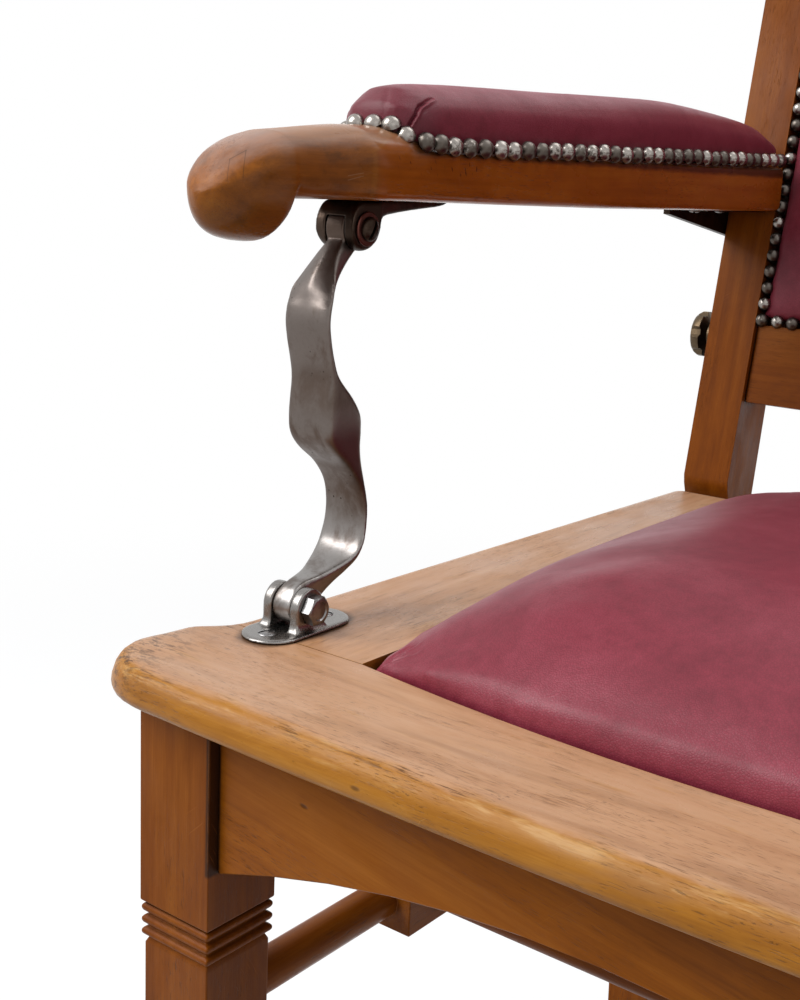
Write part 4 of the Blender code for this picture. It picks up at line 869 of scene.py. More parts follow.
def mount(piece, body, slot, *stands_for):
    """Let a piece ride on a body and hide the plain solids that it stands for. The slot is not
    used.
    """
    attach(piece, body)
    if stands_for:
        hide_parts(*stands_for)
    return piece


def middle(node):
    low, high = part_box(node)
    return (low + high) / 2


print("shaping tools ready")

# %% [markdown]
# ## Tools for finished meshes
# Modifiers do the heavy work, such as cutting a slot or remeshing a casting, and `settle` then
# turns them into plain mesh. Moving many points one by one in Python is slow, so points come and
# go as numpy arrays, and `relaxed` smooths such an array over the mesh by averaging neighbours.

# %% Mesh tools
def settle(piece, smooth=35.0):
    """Turn a piece's modifiers into plain mesh."""
    bpy.context.view_layer.update()
    graph = bpy.context.evaluated_depsgraph_get()
    mesh = bpy.data.meshes.new_from_object(piece.evaluated_get(graph))
    piece.modifiers.clear()
    old = piece.data
    piece.data = mesh
    bpy.data.meshes.remove(old)
    mesh.shade_smooth()
    mesh.set_sharp_from_angle(angle=radians(smooth))
    return piece


def combine(piece, others, operation="UNION"):
    """Boolean a piece with others, which are then removed."""
    for other in others:
        cut = piece.modifiers.new("combine", "BOOLEAN")
        cut.object = other
        cut.operation = operation
        settle(piece)
        bpy.data.objects.remove(other)
    return piece


def even_out(piece, size):
    """Add a remesh into even squares."""
    even = piece.modifiers.new("even", "REMESH")
    even.mode = "VOXEL"
    even.voxel_size = size


def vertex_array(mesh, what="co"):
    values = np.empty(3 * len(mesh.vertices))
    if what == "co":
        mesh.vertices.foreach_get("co", values)
    else:
        mesh.vertex_normals.foreach_get("vector", values)
    return values.reshape(-1, 3)


def move_vertices(mesh, points):
    mesh.vertices.foreach_set("co", np.ascontiguousarray(points, dtype=np.float32).ravel())
    mesh.update()


def relaxed(mesh, values, passes):
    """Values at the vertices, averaged with their neighbours."""
    pairs = np.empty(2 * len(mesh.edges), dtype=np.int32)
    mesh.edges.foreach_get("vertices", pairs)
    one, two = pairs.reshape(-1, 2).T
    count = np.bincount(pairs, minlength=len(values))[:, None]
    for _ in range(passes):
        total = np.zeros_like(values)
        np.add.at(total, one, values[two])
        np.add.at(total, two, values[one])
        values = 0.5 * values + 0.5 * total / count
    return values


print("mesh tools ready")

# %% [markdown]
# ## Arms
# Each arm is one piece of wood: a heavy rounded scroll in front, a waist behind it, then a plain
# bar under the cushion. A subdivided box could be pulled into that shape by hand, but a loft says
# it plainly: a list of sections from the tip backwards, with the height, the width and how square
# each one is. Forty-eight points to a section keep the outline of the scroll round however close
# the eye comes.

# %% Arm sections
ARM_HALF = 0.026
ARM_UNDER = 0.7000         # height of the arm's underside
ARM_TOP = 0.0240           # height of the wood under the cushion
ARM_RISE = 0.0045          # the wood is this much higher at the rear
ARM_NECK = 0.1120          # the domed neck ends under the nose of the cushion
BAR_START = ARM_NECK + 0.020
BAR_MIDDLE = 0.300
ARM_DROP = 0.0018          # the underside falls by this much to the rear
ARM_SQUARE = 9.0
SCROLL = (                 # from the tip: back, low, high, half width, squareness above and below
    (0.0010, -0.0054, 0.0036, 0.0044, 2.0, 2.0),
    (0.0026, -0.0094, 0.0063, 0.0080, 2.0, 2.0),
    (0.0060, -0.0132, 0.0104, 0.0124, 2.1, 2.1),
    (0.0115, -0.0160, 0.0157, 0.0169, 2.2, 2.2),
    (0.0180, -0.0175, 0.0210, 0.0203, 2.3, 2.3),
    (0.0250, -0.0182, 0.0245, 0.0220, 2.4, 2.4),
    (0.0300, -0.0175, 0.0262, 0.0224, 2.5, 2.6),
    (0.0342, -0.0128, 0.0273, 0.0224, 2.5, 2.9),
    (0.0362, -0.0052, 0.0278, 0.0222, 2.5, 3.4),
    (0.0378, 0.0000, 0.0282, 0.0220, 2.5, 4.0),
    (0.0425, 0.0000, 0.0287, 0.0218, 2.5, 4.6),
    (0.0550, 0.0000, 0.0300, 0.0215, 2.4, 5.5),
    (0.0720, 0.0000, 0.0318, 0.0223, 2.4, 6.5),
    (0.0840, 0.0000, 0.0328, 0.0246, 2.5, 7.5),
    (0.0900, 0.0000, 0.0331, 0.0258, 2.3, 9.0),
    (0.1000, 0.0000, 0.0334, 0.0260, 2.2, 9.0),
    (0.1120, 0.0000, 0.0334, 0.0260, 2.2, 9.0),
)
arm_low, arm_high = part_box("left_arm")
arm_length = arm_high.y - arm_low.y
arm_middle = middle("right_arm").x


def wood_rise(back):
    """Height of the bar's flat top over the arm's underside."""
    return ARM_TOP + ARM_RISE * (back - BAR_START) / (arm_length - BAR_START)


arm_sections = [tuple(row) for row in through(SCROLL, 4)] + [
    (ARM_NECK + 0.008, 0.0, 0.0302, ARM_HALF, 3.2, ARM_SQUARE),
    (BAR_START, -0.0002, ARM_TOP, ARM_HALF, ARM_SQUARE, ARM_SQUARE),
    (BAR_MIDDLE, -ARM_DROP, wood_rise(BAR_MIDDLE), ARM_HALF, ARM_SQUARE, ARM_SQUARE),
    (arm_length, -ARM_DROP, ARM_TOP + ARM_RISE, ARM_HALF, ARM_SQUARE, ARM_SQUARE),
]
print("arms: %.0f mm long," % (1000 * arm_length), len(arm_sections), "sections")

# %% [markdown]
# ## The arms' loft
# Each section is a ring whose widest line, the waist, rises quickly behind the tip, so the scroll
# hangs below the bar like a drop. Three small rings close the tip to a dome. `wood_at` reads the
# same sections back as a height, so that the nails can be set on the wood later.

# %% Arms
ARM_POINTS = 48
TIP_DOME = 0.0010
WAIST_TIP, WAIST_RISE, WAIST_RUN = 0.0015, 0.0115, 0.018


def waist_at(back):
    """Height of an arm's widest line over its underside."""
    return WAIST_TIP + WAIST_RISE * (1 - exp(-back / WAIST_RUN))


def wood_at(across, y):
    """Height of an arm's upper surface, across from its middle line."""
    backs = [row[0] for row in arm_sections]
    back = y - arm_low.y
    high, half, square = (
        float(np.interp(back, backs, [row[k] for row in arm_sections])) for k in (2, 3, 4)
    )
    share = (1 - min(abs(across) / half, 0.999) ** square) ** (1 / square)
    return ARM_UNDER + waist_at(back) + (high - waist_at(back)) * share


def arm_ring(side, row):
    back, low, high, half, upper, lower = row
    waist = waist_at(back)
    centre = Vector((SIDES[side] * arm_middle, arm_low.y + back, ARM_UNDER + waist))
    rise, fall = Vector((0, 0, high - waist)), Vector((0, 0, waist - low))
    return ring(centre, Vector((half, 0, 0)), rise, fall, upper, lower, ARM_POINTS)


def wooden_arm(side):
    rings = [arm_ring(side, row) for row in arm_sections]
    tip = [Vector(point) for point in rings[0]]
    centre = sum(tip, Vector()) / len(tip)
    cap = []
    for share in (0.25, 0.6, 0.85):
        ahead = Vector((0, TIP_DOME * (1 - share * share), 0))
        cap.append([centre + (p - centre) * share - ahead for p in tip])
    arm = new_piece(f"{side}_wooden_arm", skin(cap + rings), arm_wood)
    arm.modifiers.new("flats", "WEIGHTED_NORMAL").keep_sharp = True
    return mount(arm, f"{side}_armrest", "honey_wood", f"{side}_arm")


print("arms:", [wooden_arm(side).name for side in SIDES])

# %% [markdown]
# ## Turned pieces and castings
# Eyes, pins, washers and screw heads are turned: a profile of radius and height, spun about an
# axis. A casting is made of such pieces and lofts, united. Real castings have no sharp inner
# corners, because the pattern has to leave its mould, so `recast` remeshes the whole finely and
# smooths it a little.

# %% Turning and casting
def towards(axis):
    """The turn that points z along an axis."""
    return Vector(axis).to_track_quat("Z", "Y").to_matrix()


def turned(name, profile, material, axis, at, count=40):
    """A closed profile of (radius, height) turned about an axis."""
    bm = bmesh.new()
    loops = []
    for i in range(count):
        angle = 2 * pi * i / count
        loops.append([bm.verts.new((r * cos(angle), r * sin(angle), h)) for r, h in profile])
    walls(bm, loops + loops[:1])
    bmesh.ops.remove_doubles(bm, verts=bm.verts, dist=0.000001)
    spin = Matrix.Translation(at) @ towards(axis).to_4x4()
    bmesh.ops.transform(bm, verts=bm.verts, matrix=spin)
    return new_piece(name, bm, material)


def rod(name, radius, half, material, axis, at, count):
    profile = [(0, -half), (radius, -half), (radius, half), (0, half)]
    return turned(name, profile, material, axis, at, count)


def recast(piece, grain, passes):
    """Melt united shapes into one casting: an even fine mesh, then a little smoothing."""
    even_out(piece, grain)
    soft = piece.modifiers.new("soft", "SMOOTH")
    soft.factor = 0.5
    soft.iterations = passes
    material = piece.data.materials[0]
    settle(piece, 180.0)
    dress(piece, material)


print("turning and casting tools ready")

# %% [markdown]
# ## Cast arm supports
# The supports are the chair's showpiece: a flat bar that twists into waves, thin at both eyes and
# broad between. Each section is set by its front and rear edges, so the two silhouettes of the wave
# can be drawn separately, which is how a pattern maker would carve it. The eyes are turned rings,
# united with the bar. Below the upper eye the bar's front has a ridge down its middle, like a leaf:
# the points on both sides of it are let down after the casting is made.

# %% Arm supports
EYE, EYE_RADIUS, TOP_EYE_RADIUS, PIN_RADIUS = 0.011, 0.009, 0.0102, 0.0043
EYE_EASE = 0.0007
LEAF_LOW, LEAF_HIGH, LEAF_SLOPE = 0.140, 0.170, 0.24
LEAF_FACE = np.array((0.0, -0.8, 0.6))
WAVE = (                   # front edge (back, up), rear edge (back, up), width, squareness
    (-0.0078, 0.0035, 0.0040, -0.0060, 0.0108, 8.0),
    (-0.0045, 0.0085, 0.0080, -0.0030, 0.0108, 7.0),
    (0.0020, 0.0114, 0.0150, 0.0020, 0.0116, 5.0),
    (0.0115, 0.0133, 0.0213, 0.0075, 0.0152, 4.5),
    (0.0195, 0.0163, 0.0278, 0.0128, 0.0205, 4.0),
    (0.0265, 0.0197, 0.0335, 0.0190, 0.0252, 3.5),
    (0.0315, 0.0245, 0.0370, 0.0275, 0.0270, 3.0),
    (0.0340, 0.0340, 0.0388, 0.0360, 0.0262, 2.6),
    (0.0342, 0.0440, 0.0388, 0.0460, 0.0257, 2.6),
    (0.0312, 0.0540, 0.0362, 0.0565, 0.0250, 3.0),
    (0.0235, 0.0640, 0.0335, 0.0660, 0.0252, 4.5),
    (0.0130, 0.0725, 0.0315, 0.0745, 0.0270, 6.0),
    (0.0072, 0.0800, 0.0313, 0.0820, 0.0285, 6.0),
    (0.0061, 0.0890, 0.0300, 0.0900, 0.0288, 6.0),
    (0.0064, 0.0980, 0.0240, 0.0985, 0.0282, 5.0),
    (0.0067, 0.1080, 0.0145, 0.1085, 0.0270, 3.2),
    (0.0052, 0.1165, 0.0105, 0.1170, 0.0268, 2.6),
    (0.0030, 0.1250, 0.0082, 0.1255, 0.0268, 2.5),
    (0.0019, 0.1340, 0.0070, 0.1340, 0.0268, 2.5),
    (0.0035, 0.1440, 0.0085, 0.1430, 0.0264, 2.6),
    (0.0050, 0.1500, 0.0105, 0.1480, 0.0246, 3.2),
    (0.0085, 0.1565, 0.0165, 0.1535, 0.0190, 4.0),
    (0.0145, 0.1635, 0.0245, 0.1600, 0.0138, 5.0),
    (0.0205, 0.1690, 0.0320, 0.1660, 0.0110, 6.0),
    (0.0255, 0.1745, 0.0340, 0.1690, 0.0100, 6.0),
)
joint_at = {joint["name"]: Vector(joint["pos_m"]) for joint in frame["joints"]}


def top_pivot(side):
    """Middle of the pin that joins a support to its arm."""
    pivot = middle(f"{side}_arm_front_screw")
    pivot.x = joint_at[f"{side}_support_swing"].x
    return pivot


def eye_ring(name, at, outer):
    half, slight = EYE / 2, 0.3 * EYE_EASE
    edge = [(outer - EYE_EASE, half), (outer - slight, half - slight), (outer, half - EYE_EASE)]
    lower = [(PIN_RADIUS, -half), *((radius, -rise) for radius, rise in edge)]
    profile = [*lower, *reversed(edge), (PIN_RADIUS, half)]
    return turned(name, profile, nickel, (1, 0, 0), at)


def raise_leaf(mesh, foot):
    points = vertex_array(mesh)
    at = points - np.array(foot)
    span = np.clip((at[:, 2] - LEAF_LOW) / (LEAF_HIGH - LEAF_LOW), 0, 1)
    facing = np.clip(vertex_array(mesh, "normal") @ LEAF_FACE, 0, 1)
    fall = LEAF_SLOPE * np.sin(pi * span) * facing * np.abs(at[:, 0])
    move_vertices(mesh, points + relaxed(mesh, -fall[:, None] * LEAF_FACE, 5))


def arm_support(side):
    foot = joint_at[f"{side}_support_swing"]
    rings = []
    for front_y, front_z, rear_y, rear_z, width, square in through(WAVE, 5):
        front, rear = Vector((0, front_y, front_z)), Vector((0, rear_y, rear_z))
        half = (rear - front) / 2
        across = Vector((width / 2, 0, 0))
        rings.append(ring(foot + (front + rear) / 2, across, half, half, square, square, 32))
    bar = new_piece(f"{side}_cast_support", skin(rings), nickel)
    combine(bar, [eye_ring(f"{side}_foot_eye", foot, EYE_RADIUS),
                  eye_ring(f"{side}_head_eye", top_pivot(side), TOP_EYE_RADIUS)])
    recast(bar, 0.0007, 3)
    raise_leaf(bar.data, foot)
    return mount(bar, f"{side}_support", "worn_nickel", f"{side}_arm_support")


supports = [arm_support(side) for side in SIDES]
print("supports:", {piece.name: len(piece.data.polygons) for piece in supports}, "faces")

# %% [markdown]
# ## Brackets on the seat
# The supports stand between pairs of lugs. On the seat the lugs rise from an oval flange and flare
# into it, as a casting does so that it leaves its mould. Each lug is a loft in slices from the
# flange upwards, and what would be a sharp corner between two lofts is melted away by the same fine
# remesh as on the supports.

# %% Seat brackets
LUG, LUG_RADIUS, CLEAR = 0.0054, 0.0095, 0.0003
FLANGE_HALF, FLANGE_RUN, FLANGE_THICK = 0.015, 0.016, 0.0017
FLANGE_EDGE = ((0.0, 0.0), (0.0, 0.0007), (0.0005, 0.0013), (0.0016, FLANGE_THICK))
FLANGE_POINTS = 56
FLARE, FLARE_RISE = 0.0026, 0.0050
FLARE_STEPS = (0.0, 0.0006, 0.0014, 0.0024, 0.0036, 0.0050)
BRACKET_GRAIN, BRACKET_PASSES = 0.0006, 2
lug_reach = EYE / 2 + CLEAR + LUG


def flange(name, at):
    """An oval plate with a rounded edge."""
    rings = []
    for inset, rise in FLANGE_EDGE:
        points = []
        for i in range(FLANGE_POINTS):
            angle = 2 * pi * (i + 0.5) / FLANGE_POINTS
            run = FLANGE_RUN if sin(angle) > 0 else -FLANGE_RUN
            half = FLANGE_HALF - inset
            points.append(at + Vector((half * cos(angle), run + half * sin(angle), rise)))
        rings.append(points)
    return new_piece(name, skin(rings), bright_nickel)


def lug(name, foot, way, rise):
    """One lug of a seat bracket: flared at the flange, round about the pivot."""
    rings = []
    steps = [*FLARE_STEPS, 0.5 * (rise + FLARE_RISE)]
    steps += [rise + LUG_RADIUS * sin(0.5 * pi * i / 9) for i in range(10)]
    for z in steps:
        spread = FLARE * max(0.0, 1 - z / FLARE_RISE) ** 2
        over = min(1.0, max(0.0, (z - rise) / LUG_RADIUS))
        deep = Vector((0, LUG_RADIUS * sqrt(max(1 - over * over, 0.004)) + spread, 0))
        centre = foot + Vector((way * (lug_reach - LUG / 2 + spread / 2), 0, z))
        across = Vector((LUG / 2 + spread / 2, 0, 0))
        rings.append(ring(centre, across, deep, deep, 9, 9, 40))
    return new_piece(name, skin(rings), bright_nickel)


def seat_bracket(side):
    pivot = joint_at[f"{side}_support_swing"]
    low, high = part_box(f"{side}_support_bracket")
    at = Vector((pivot.x, (low.y + high.y) / 2, low.z))
    bracket = flange(f"{side}_seat_bracket", at)
    foot = Vector((pivot.x, pivot.y, low.z + FLANGE_THICK / 2))
    rise = pivot.z - foot.z
    combine(bracket, [lug(f"{side}_lug_{way}", foot, way, rise) for way in (-1, 1)])
    recast(bracket, BRACKET_GRAIN, BRACKET_PASSES)
    return mount(bracket, "root", "worn_nickel", f"{side}_support_bracket")


seat_brackets = [seat_bracket(side) for side in SIDES]
print("seat brackets:", {p.name: len(p.data.polygons) for p in seat_brackets}, "faces")

# %% [markdown]
# ## Brackets under the arms
# Under the arm the lugs grow out of a long tapering tail. This bracket is one loft along the tail.
# A slot is then cut up into it for the support, and a round bore across the slot clears the
# support's eye as it turns.

# %% Arm brackets
ARM_LUG_RADIUS = 0.0103
TAIL_LINE = (              # underside of the tail: behind the pivot, above it
    (0.0104, 0.0004), (0.0112, 0.0032), (0.0132, 0.0050), (0.0172, 0.0060), (0.0280, 0.0072),
    (0.0400, 0.0083), (0.0520, 0.0092), (0.0620, 0.0099), (0.0690, 0.0108), (0.0725, 0.0120),
)
TAIL_TIP_HALF = 0.0034
FRONT_FLAT = 0.25          # share of the front that meets the arm before it rounds down
SLOT_BEYOND, BORE_CLEAR = 0.03, 0.0005


def box_piece(name, low, high, material):
    bm = bmesh.new()
    bmesh.ops.create_cube(bm, size=1.0)
    for vert in bm.verts:
        vert.co = [low[i] + (high[i] - low[i]) * (vert.co[i] + 0.5) for i in range(3)]
    return new_piece(name, bm, material)


def tail_ring(pivot, y, low):
    """A section of the bracket; the front is rounded up to the arm."""
    top = ARM_UNDER - CLEAR - pivot.z
    back = max(0.0, (y - ARM_LUG_RADIUS) / (TAIL_LINE[-1][0] - ARM_LUG_RADIUS)) ** 0.8
    half = lug_reach + (TAIL_TIP_HALF - lug_reach) * back
    ahead = min(max((-y / ARM_LUG_RADIUS - FRONT_FLAT) / (1 - FRONT_FLAT), 0.0), 1.0)
    high = max(top * sqrt(1 - ahead * ahead), low + 0.0003)
    centre = pivot + Vector((0, y, (high + low) / 2))
    tall = Vector((0, 0, (high - low) / 2))
    return ring(centre, Vector((half, 0, 0)), tall, tall, 14, 7, 48)


def arm_bracket(side):
    pivot = top_pivot(side)
    quarter = [0.5 * pi * i / 11 for i in range(12)]
    slices = [(-ARM_LUG_RADIUS * cos(t), -ARM_LUG_RADIUS * sin(t)) for t in quarter]
    slices += [(-y, z) for y, z in reversed(slices[1:-1])]
    slices += TAIL_LINE
    rings = [tail_ring(pivot, y, low) for y, low in slices]
    bracket = new_piece(f"{side}_arm_bracket", skin(rings), browned)
    half = EYE / 2 + CLEAR
    slot_low = pivot + Vector((-half, -SLOT_BEYOND, -SLOT_BEYOND))
    slot_high = pivot + Vector((half, ARM_LUG_RADIUS + 0.0004, 0.0))
    slot = box_piece(f"{side}_bracket_slot", slot_low, slot_high, browned)
    reach = TOP_EYE_RADIUS + BORE_CLEAR
    bore = rod(f"{side}_bracket_bore", reach, half, browned, (1, 0, 0), pivot, 40)
    combine(bracket, [slot, bore], "DIFFERENCE")
    recast(bracket, BRACKET_GRAIN, BRACKET_PASSES)
    return mount(bracket, f"{side}_armrest", "worn_nickel", f"{side}_arm_front_bracket")


arm_brackets = [arm_bracket(side) for side in SIDES]
print("arm brackets:", {p.name: len(p.data.polygons) for p in arm_brackets}, "faces")

# %% [markdown]
# ## Heads of bolts and screws
# A hexagon bolt is a circle and a hexagon at once: its sides are flat, but its face is cut back by
# a cone, which leaves the familiar curved corners. Rings of points whose radius follows first the
# hexagon and then the cone make exactly that. A slotted screw is a turned dome with a groove cut
# across it.

# %% Heads
HEX_RADIUS, HEX_HEIGHT, HEX_POINTS, HEX_EASE = 0.0074, 0.0055, 72, 0.0002
HOLLOW = ((0.0046, 0.0), (0.0041, 0.0006), (0.0010, 0.0004))    # radius and depth in the face
RIM_SHARE = 0.25


def hex_head(name, at, axis, material):
    flat = HEX_RADIUS * cos(pi / 6)
    face = 0.94 * flat
    angles = [2 * pi * i / HEX_POINTS for i in range(HEX_POINTS)]
    corners = [flat / cos(angle % (pi / 3) - pi / 6) for angle in angles]
    cone = [HEX_HEIGHT - (corner - face) * tan(pi / 6) - HEX_EASE for corner in corners]
    spin = towards(axis)

    def loop(radii, rises):
        rows = zip(angles, radii, rises)
        return [at + spin @ Vector((r * cos(angle), r * sin(angle), z)) for angle, r, z in rows]

    def circle(radius, rise):
        return loop([radius] * HEX_POINTS, [rise] * HEX_POINTS)

    rings = [
        loop(corners, [0.0] * HEX_POINTS),
        loop(corners, cone),
        circle(face + HEX_EASE, HEX_HEIGHT - HEX_EASE),
        circle(face - 2 * HEX_EASE, HEX_HEIGHT),
        *(circle(radius, HEX_HEIGHT - depth) for radius, depth in HOLLOW),
    ]
    return new_piece(name, skin(rings), material, 28.0)


def round_head(name, radius, height, at, axis, material):
    """A domed head, standing on a short straight rim."""
    rim = RIM_SHARE * height
    quarter = [0.5 * pi * i / 8 for i in range(8)]
    dome_line = [(radius * cos(t), rim + (height - rim) * sin(t)) for t in quarter]
    profile = [(0.0, 0.0), (radius, 0.0), *dome_line, (0.0, height)]
    return turned(name, profile, material, axis, at, 36)


def slotted(radius, height, material):
    """One slotted screw head, pointing up at the origin."""
    head = round_head("screw_head", radius, height, Vector(), (0, 0, 1), material)
    width, depth = 0.11 * radius + 0.0003, 0.5 * height
    groove = box_piece("screw_groove", (-2 * radius, -width, height - depth),
                       (2 * radius, width, 2 * height), material)
    return combine(head, [groove], "DIFFERENCE")


def set_at(place, outward, turned_by):
    """The matrix that sets a head at a place, facing outward, with its groove turned."""
    spin = towards(outward) @ Matrix.Rotation(turned_by, 3, "Z")
    return Matrix.Translation(place) @ spin.to_4x4()


print("heads ready: hexagon %.1f mm across its corners" % (2000 * HEX_RADIUS))

# %% [markdown]
# ## Bolts and pivot screws
# A support turns on a hexagon bolt at the seat and on a slotted screw under the arm, which has a
# rusty washer under its head. Shank, head and the riveted end are made apart and merged, so each
# keeps its own metal.

# %% Bolts and pivot screws
SHANK_RADIUS = 0.004
RIVET, PIN_END, PIN_HEAD = (0.0065, 0.0025), (0.0064, 0.0030), (0.0056, 0.0034)  # radius, height
PIN_TURN = 1.1             # the way the groove points
WASHER = ((0.0, 0.0), (0.0079, 0.0), (0.0079, 0.0006), (0.0074, 0.0010), (0.0, 0.0010))
WASHER_SINK = 0.0009


def merge(name, pieces):
    """Several pieces as one object, with their own materials."""
    bm = bmesh.new()
    kept = []
    for piece in pieces:
        own = piece.data.materials[0]
        if own not in kept:
            kept.append(own)
        start = len(bm.faces)
        bm.from_mesh(piece.data)
        bm.faces.ensure_lookup_table()
        for face in bm.faces[start:]:
            face.material_index = kept.index(own)
        bpy.data.objects.remove(piece)
    whole = new_piece(name, bm, kept[0], 30.0)
    for own in kept[1:]:
        whole.data.materials.append(own)
    return whole


def seat_bolt(side):
    pivot, inner = joint_at[f"{side}_support_swing"], Vector((-SIDES[side], 0, 0))
    face = lug_reach + CLEAR
    shank = rod(f"{side}_shank", SHANK_RADIUS, face, steel, inner, pivot, 24)
    head = hex_head(f"{side}_hex", pivot + inner * face, inner, steel)
    rivet = round_head(f"{side}_rivet", *RIVET, pivot - inner * face, -inner, steel)
    bolt = merge(f"{side}_seat_bolt", [shank, head, rivet])
    return mount(bolt, "root", "worn_nickel", f"{side}_support_bolt")


def pivot_screw(side):
    pivot, inner = top_pivot(side), Vector((-SIDES[side], 0, 0))
    face = lug_reach + CLEAR
    shank = rod(f"{side}_pin", SHANK_RADIUS, face, browned, inner, pivot, 24)
    collar = [(radius, face + rise) for radius, rise in WASHER]
    washer = turned(f"{side}_washer", collar, rust_red, inner, pivot)
    end = round_head(f"{side}_pin_end", *PIN_END, pivot - inner * face, -inner, browned)
    head = slotted(*PIN_HEAD, browned)
    head.data.transform(set_at(pivot + inner * (face + WASHER_SINK), inner, PIN_TURN))
    screw = merge(f"{side}_pivot_screw", [shank, washer, end, head])
    return mount(screw, f"{side}_armrest", "worn_nickel", f"{side}_arm_front_screw")


pivots = [make(side).name for side in SIDES for make in (seat_bolt, pivot_screw)]
print("bolts and pivot screws:", pivots)

# %% [markdown]
# ## Wood screws
# Slotted screws hold the flanges, the slotted plates behind the seat and the brackets under the
# arms. One screw is made and copied to every place that has one. No fitter lines up the grooves, so
# each is turned by chance. The dice are seeded, and the same chair comes out each time.

# %% Wood screws
LARGE_SCREW, SMALL_SCREW = (0.0046, 0.0018), (0.0038, 0.0016)   # radius and height
FLANGE_SCREW, FLANGE_SINK = 0.0205, 0.0007      # from the middle of the flange, into its face
PLATE_SCREWS = ((0.010, 0.056), (0.026, 0.056), (0.018, 0.012))
REAR_SCREWS, REAR_SINK = (0.014, 0.052), 0.0022
TAIL_SCREW = Vector((0.0, 0.046, 0.0098))       # from the pivot
dice = random.Random(7)


def anyhow(place, outward):
    """A screw's place and the way it faces, with its groove turned by chance."""
    return place, outward, dice.uniform(0, pi)


def screws(name, spots, body, radius, height):
    """Slotted screws at (place, outward, turn of the groove) spots, as one piece."""
    model = slotted(radius, height, steel)
    bm = bmesh.new()
    for spot in spots:
        start = len(bm.verts)
        bm.from_mesh(model.data)
        bm.verts.ensure_lookup_table()
        bmesh.ops.transform(bm, verts=bm.verts[start:], matrix=set_at(*spot))
    bpy.data.objects.remove(model)
    return mount(new_piece(name, bm, steel, 30.0), body, "worn_nickel")


root_screws = []
for side, sign in SIDES.items():
    low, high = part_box(f"{side}_support_bracket")
    for way in (-1, 1):
        y = (low.y + high.y) / 2 + way * FLANGE_SCREW
        spot = Vector(((low.x + high.x) / 2, y, low.z + FLANGE_THICK - FLANGE_SINK))
        root_screws.append(anyhow(spot, (0, 0, 1)))
    tab_low, tab_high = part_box(f"{side}_back_plate")
    outer = tab_high.x if sign > 0 else tab_low.x
    for y, z in PLATE_SCREWS:
        root_screws.append(anyhow(Vector((outer, tab_low.y + y, tab_low.z + z)), (sign, 0, 0)))
    plate_low, plate_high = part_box(f"{side}_arm_rear_bracket")
    arm_spots = [Vector((sign * arm_middle, plate_low.y + y, plate_high.z - REAR_SINK))
                 for y in REAR_SCREWS]
    arm_spots.append(middle(f"{side}_arm_front_screw") + TAIL_SCREW)
    arm_screws = [anyhow(spot, (0, 0, -1)) for spot in arm_spots]
    screws(f"{side}_arm_screws", arm_screws, f"{side}_armrest", *SMALL_SCREW)
screws("frame_screws", root_screws, "root", *LARGE_SCREW)
print("wood screws:", len(root_screws), "on the seat frame")

# %% [markdown]
# ## Stuffed leather
# A cushion is a skin under pressure that is held at its edges, so that is how these are made. A
# rule gives the cushion a little less than its full size, a remesh turns it into even squares, and
# a short cloth run with air pressure inside and its base held fast swells it until the leather is
# taut. How far any point may move is capped, so the cushion still fits its frame. One subdivision
# at the end makes it smooth. Sculpting by hand could look as good, but it would have to be done
# again for each change of size.

# %% Stuffing
CLOTH_STEPS = 20


def inflate(piece, held, swell, pressure):
    """Blow a cushion up as cloth: held says which points are pinned, and swell is the farthest
    that a point may go."""
    start = vertex_array(piece.data)
    pins = piece.vertex_groups.new(name="held")
    pins.add([i for i, point in enumerate(start) if held(point)], 1.0, "REPLACE")
    cloth = piece.modifiers.new("stuffing", "CLOTH")
    cloth.settings.use_pressure = True
    cloth.settings.uniform_pressure_force = pressure
    cloth.settings.vertex_group_mass = pins.name
    cloth.settings.effector_weights.gravity = 0.0
    cloth.settings.quality = 5
    cloth.point_cache.frame_start, cloth.point_cache.frame_end = 1, CLOTH_STEPS
    for number in range(1, CLOTH_STEPS + 1):
        bpy.context.scene.frame_set(number)
    graph = bpy.context.evaluated_depsgraph_get()
    swollen = vertex_array(piece.evaluated_get(graph).data)
    piece.modifiers.clear()
    piece.vertex_groups.clear()
    bpy.context.scene.frame_set(1)
    move = swollen - start
    length = np.linalg.norm(move, axis=1, keepdims=True)
    move *= np.minimum(1.0, swell / np.maximum(length, 1e-9))
    move_vertices(piece.data, start + relaxed(piece.data, move, 6))
    return float(length.max()), float(np.linalg.norm(move, axis=1).mean())


def cushion(name, shape, held, voxel, swell, pressure, cuts):
    """A stuffed cushion from a rule that shapes a block of points from -1 to 1."""
    bm = bmesh.new()
    bmesh.ops.create_cube(bm, size=2.0)
    bmesh.ops.subdivide_edges(bm, edges=bm.edges[:], cuts=cuts, use_grid_fill=True)
    for vert in bm.verts:
        vert.co = shape(*vert.co)
    piece = new_piece(name, bm, burgundy)
    even_out(piece, voxel)
    settle(piece, 180.0)
    swelled = inflate(piece, held, swell, pressure)
    print(name, "swelled %.4f at most, %.4f kept on average" % swelled)
    fine = piece.modifiers.new("fine", "SUBSURF")
    fine.levels = fine.render_levels = 1
    settle(piece, 180.0)
    dress(piece, burgundy)
    return piece


def dome(a, b, fullness, ease=0.8):
    """Crown of a cushion: 1 in the middle, falling to 0 at the edges."""
    return ((1 - min(abs(a), 1) ** fullness) * (1 - min(abs(b), 1) ** fullness)) ** ease


def pad_done(piece, body, node):
    mount(piece, body, "burgundy_leather", node)


# %% [markdown]
# ## Pleats
# Where leather is pulled round a corner it folds. A fold is only a millimetre wide, far finer than
# the cushion's squares, and a remesh would wipe it out, so it comes last: the squares near the
# fold are divided, and their points are pushed in along its line, with a raised lip on one side.
# A search tree finds the nearest point of any fold, so all folds of a cushion take one pass.

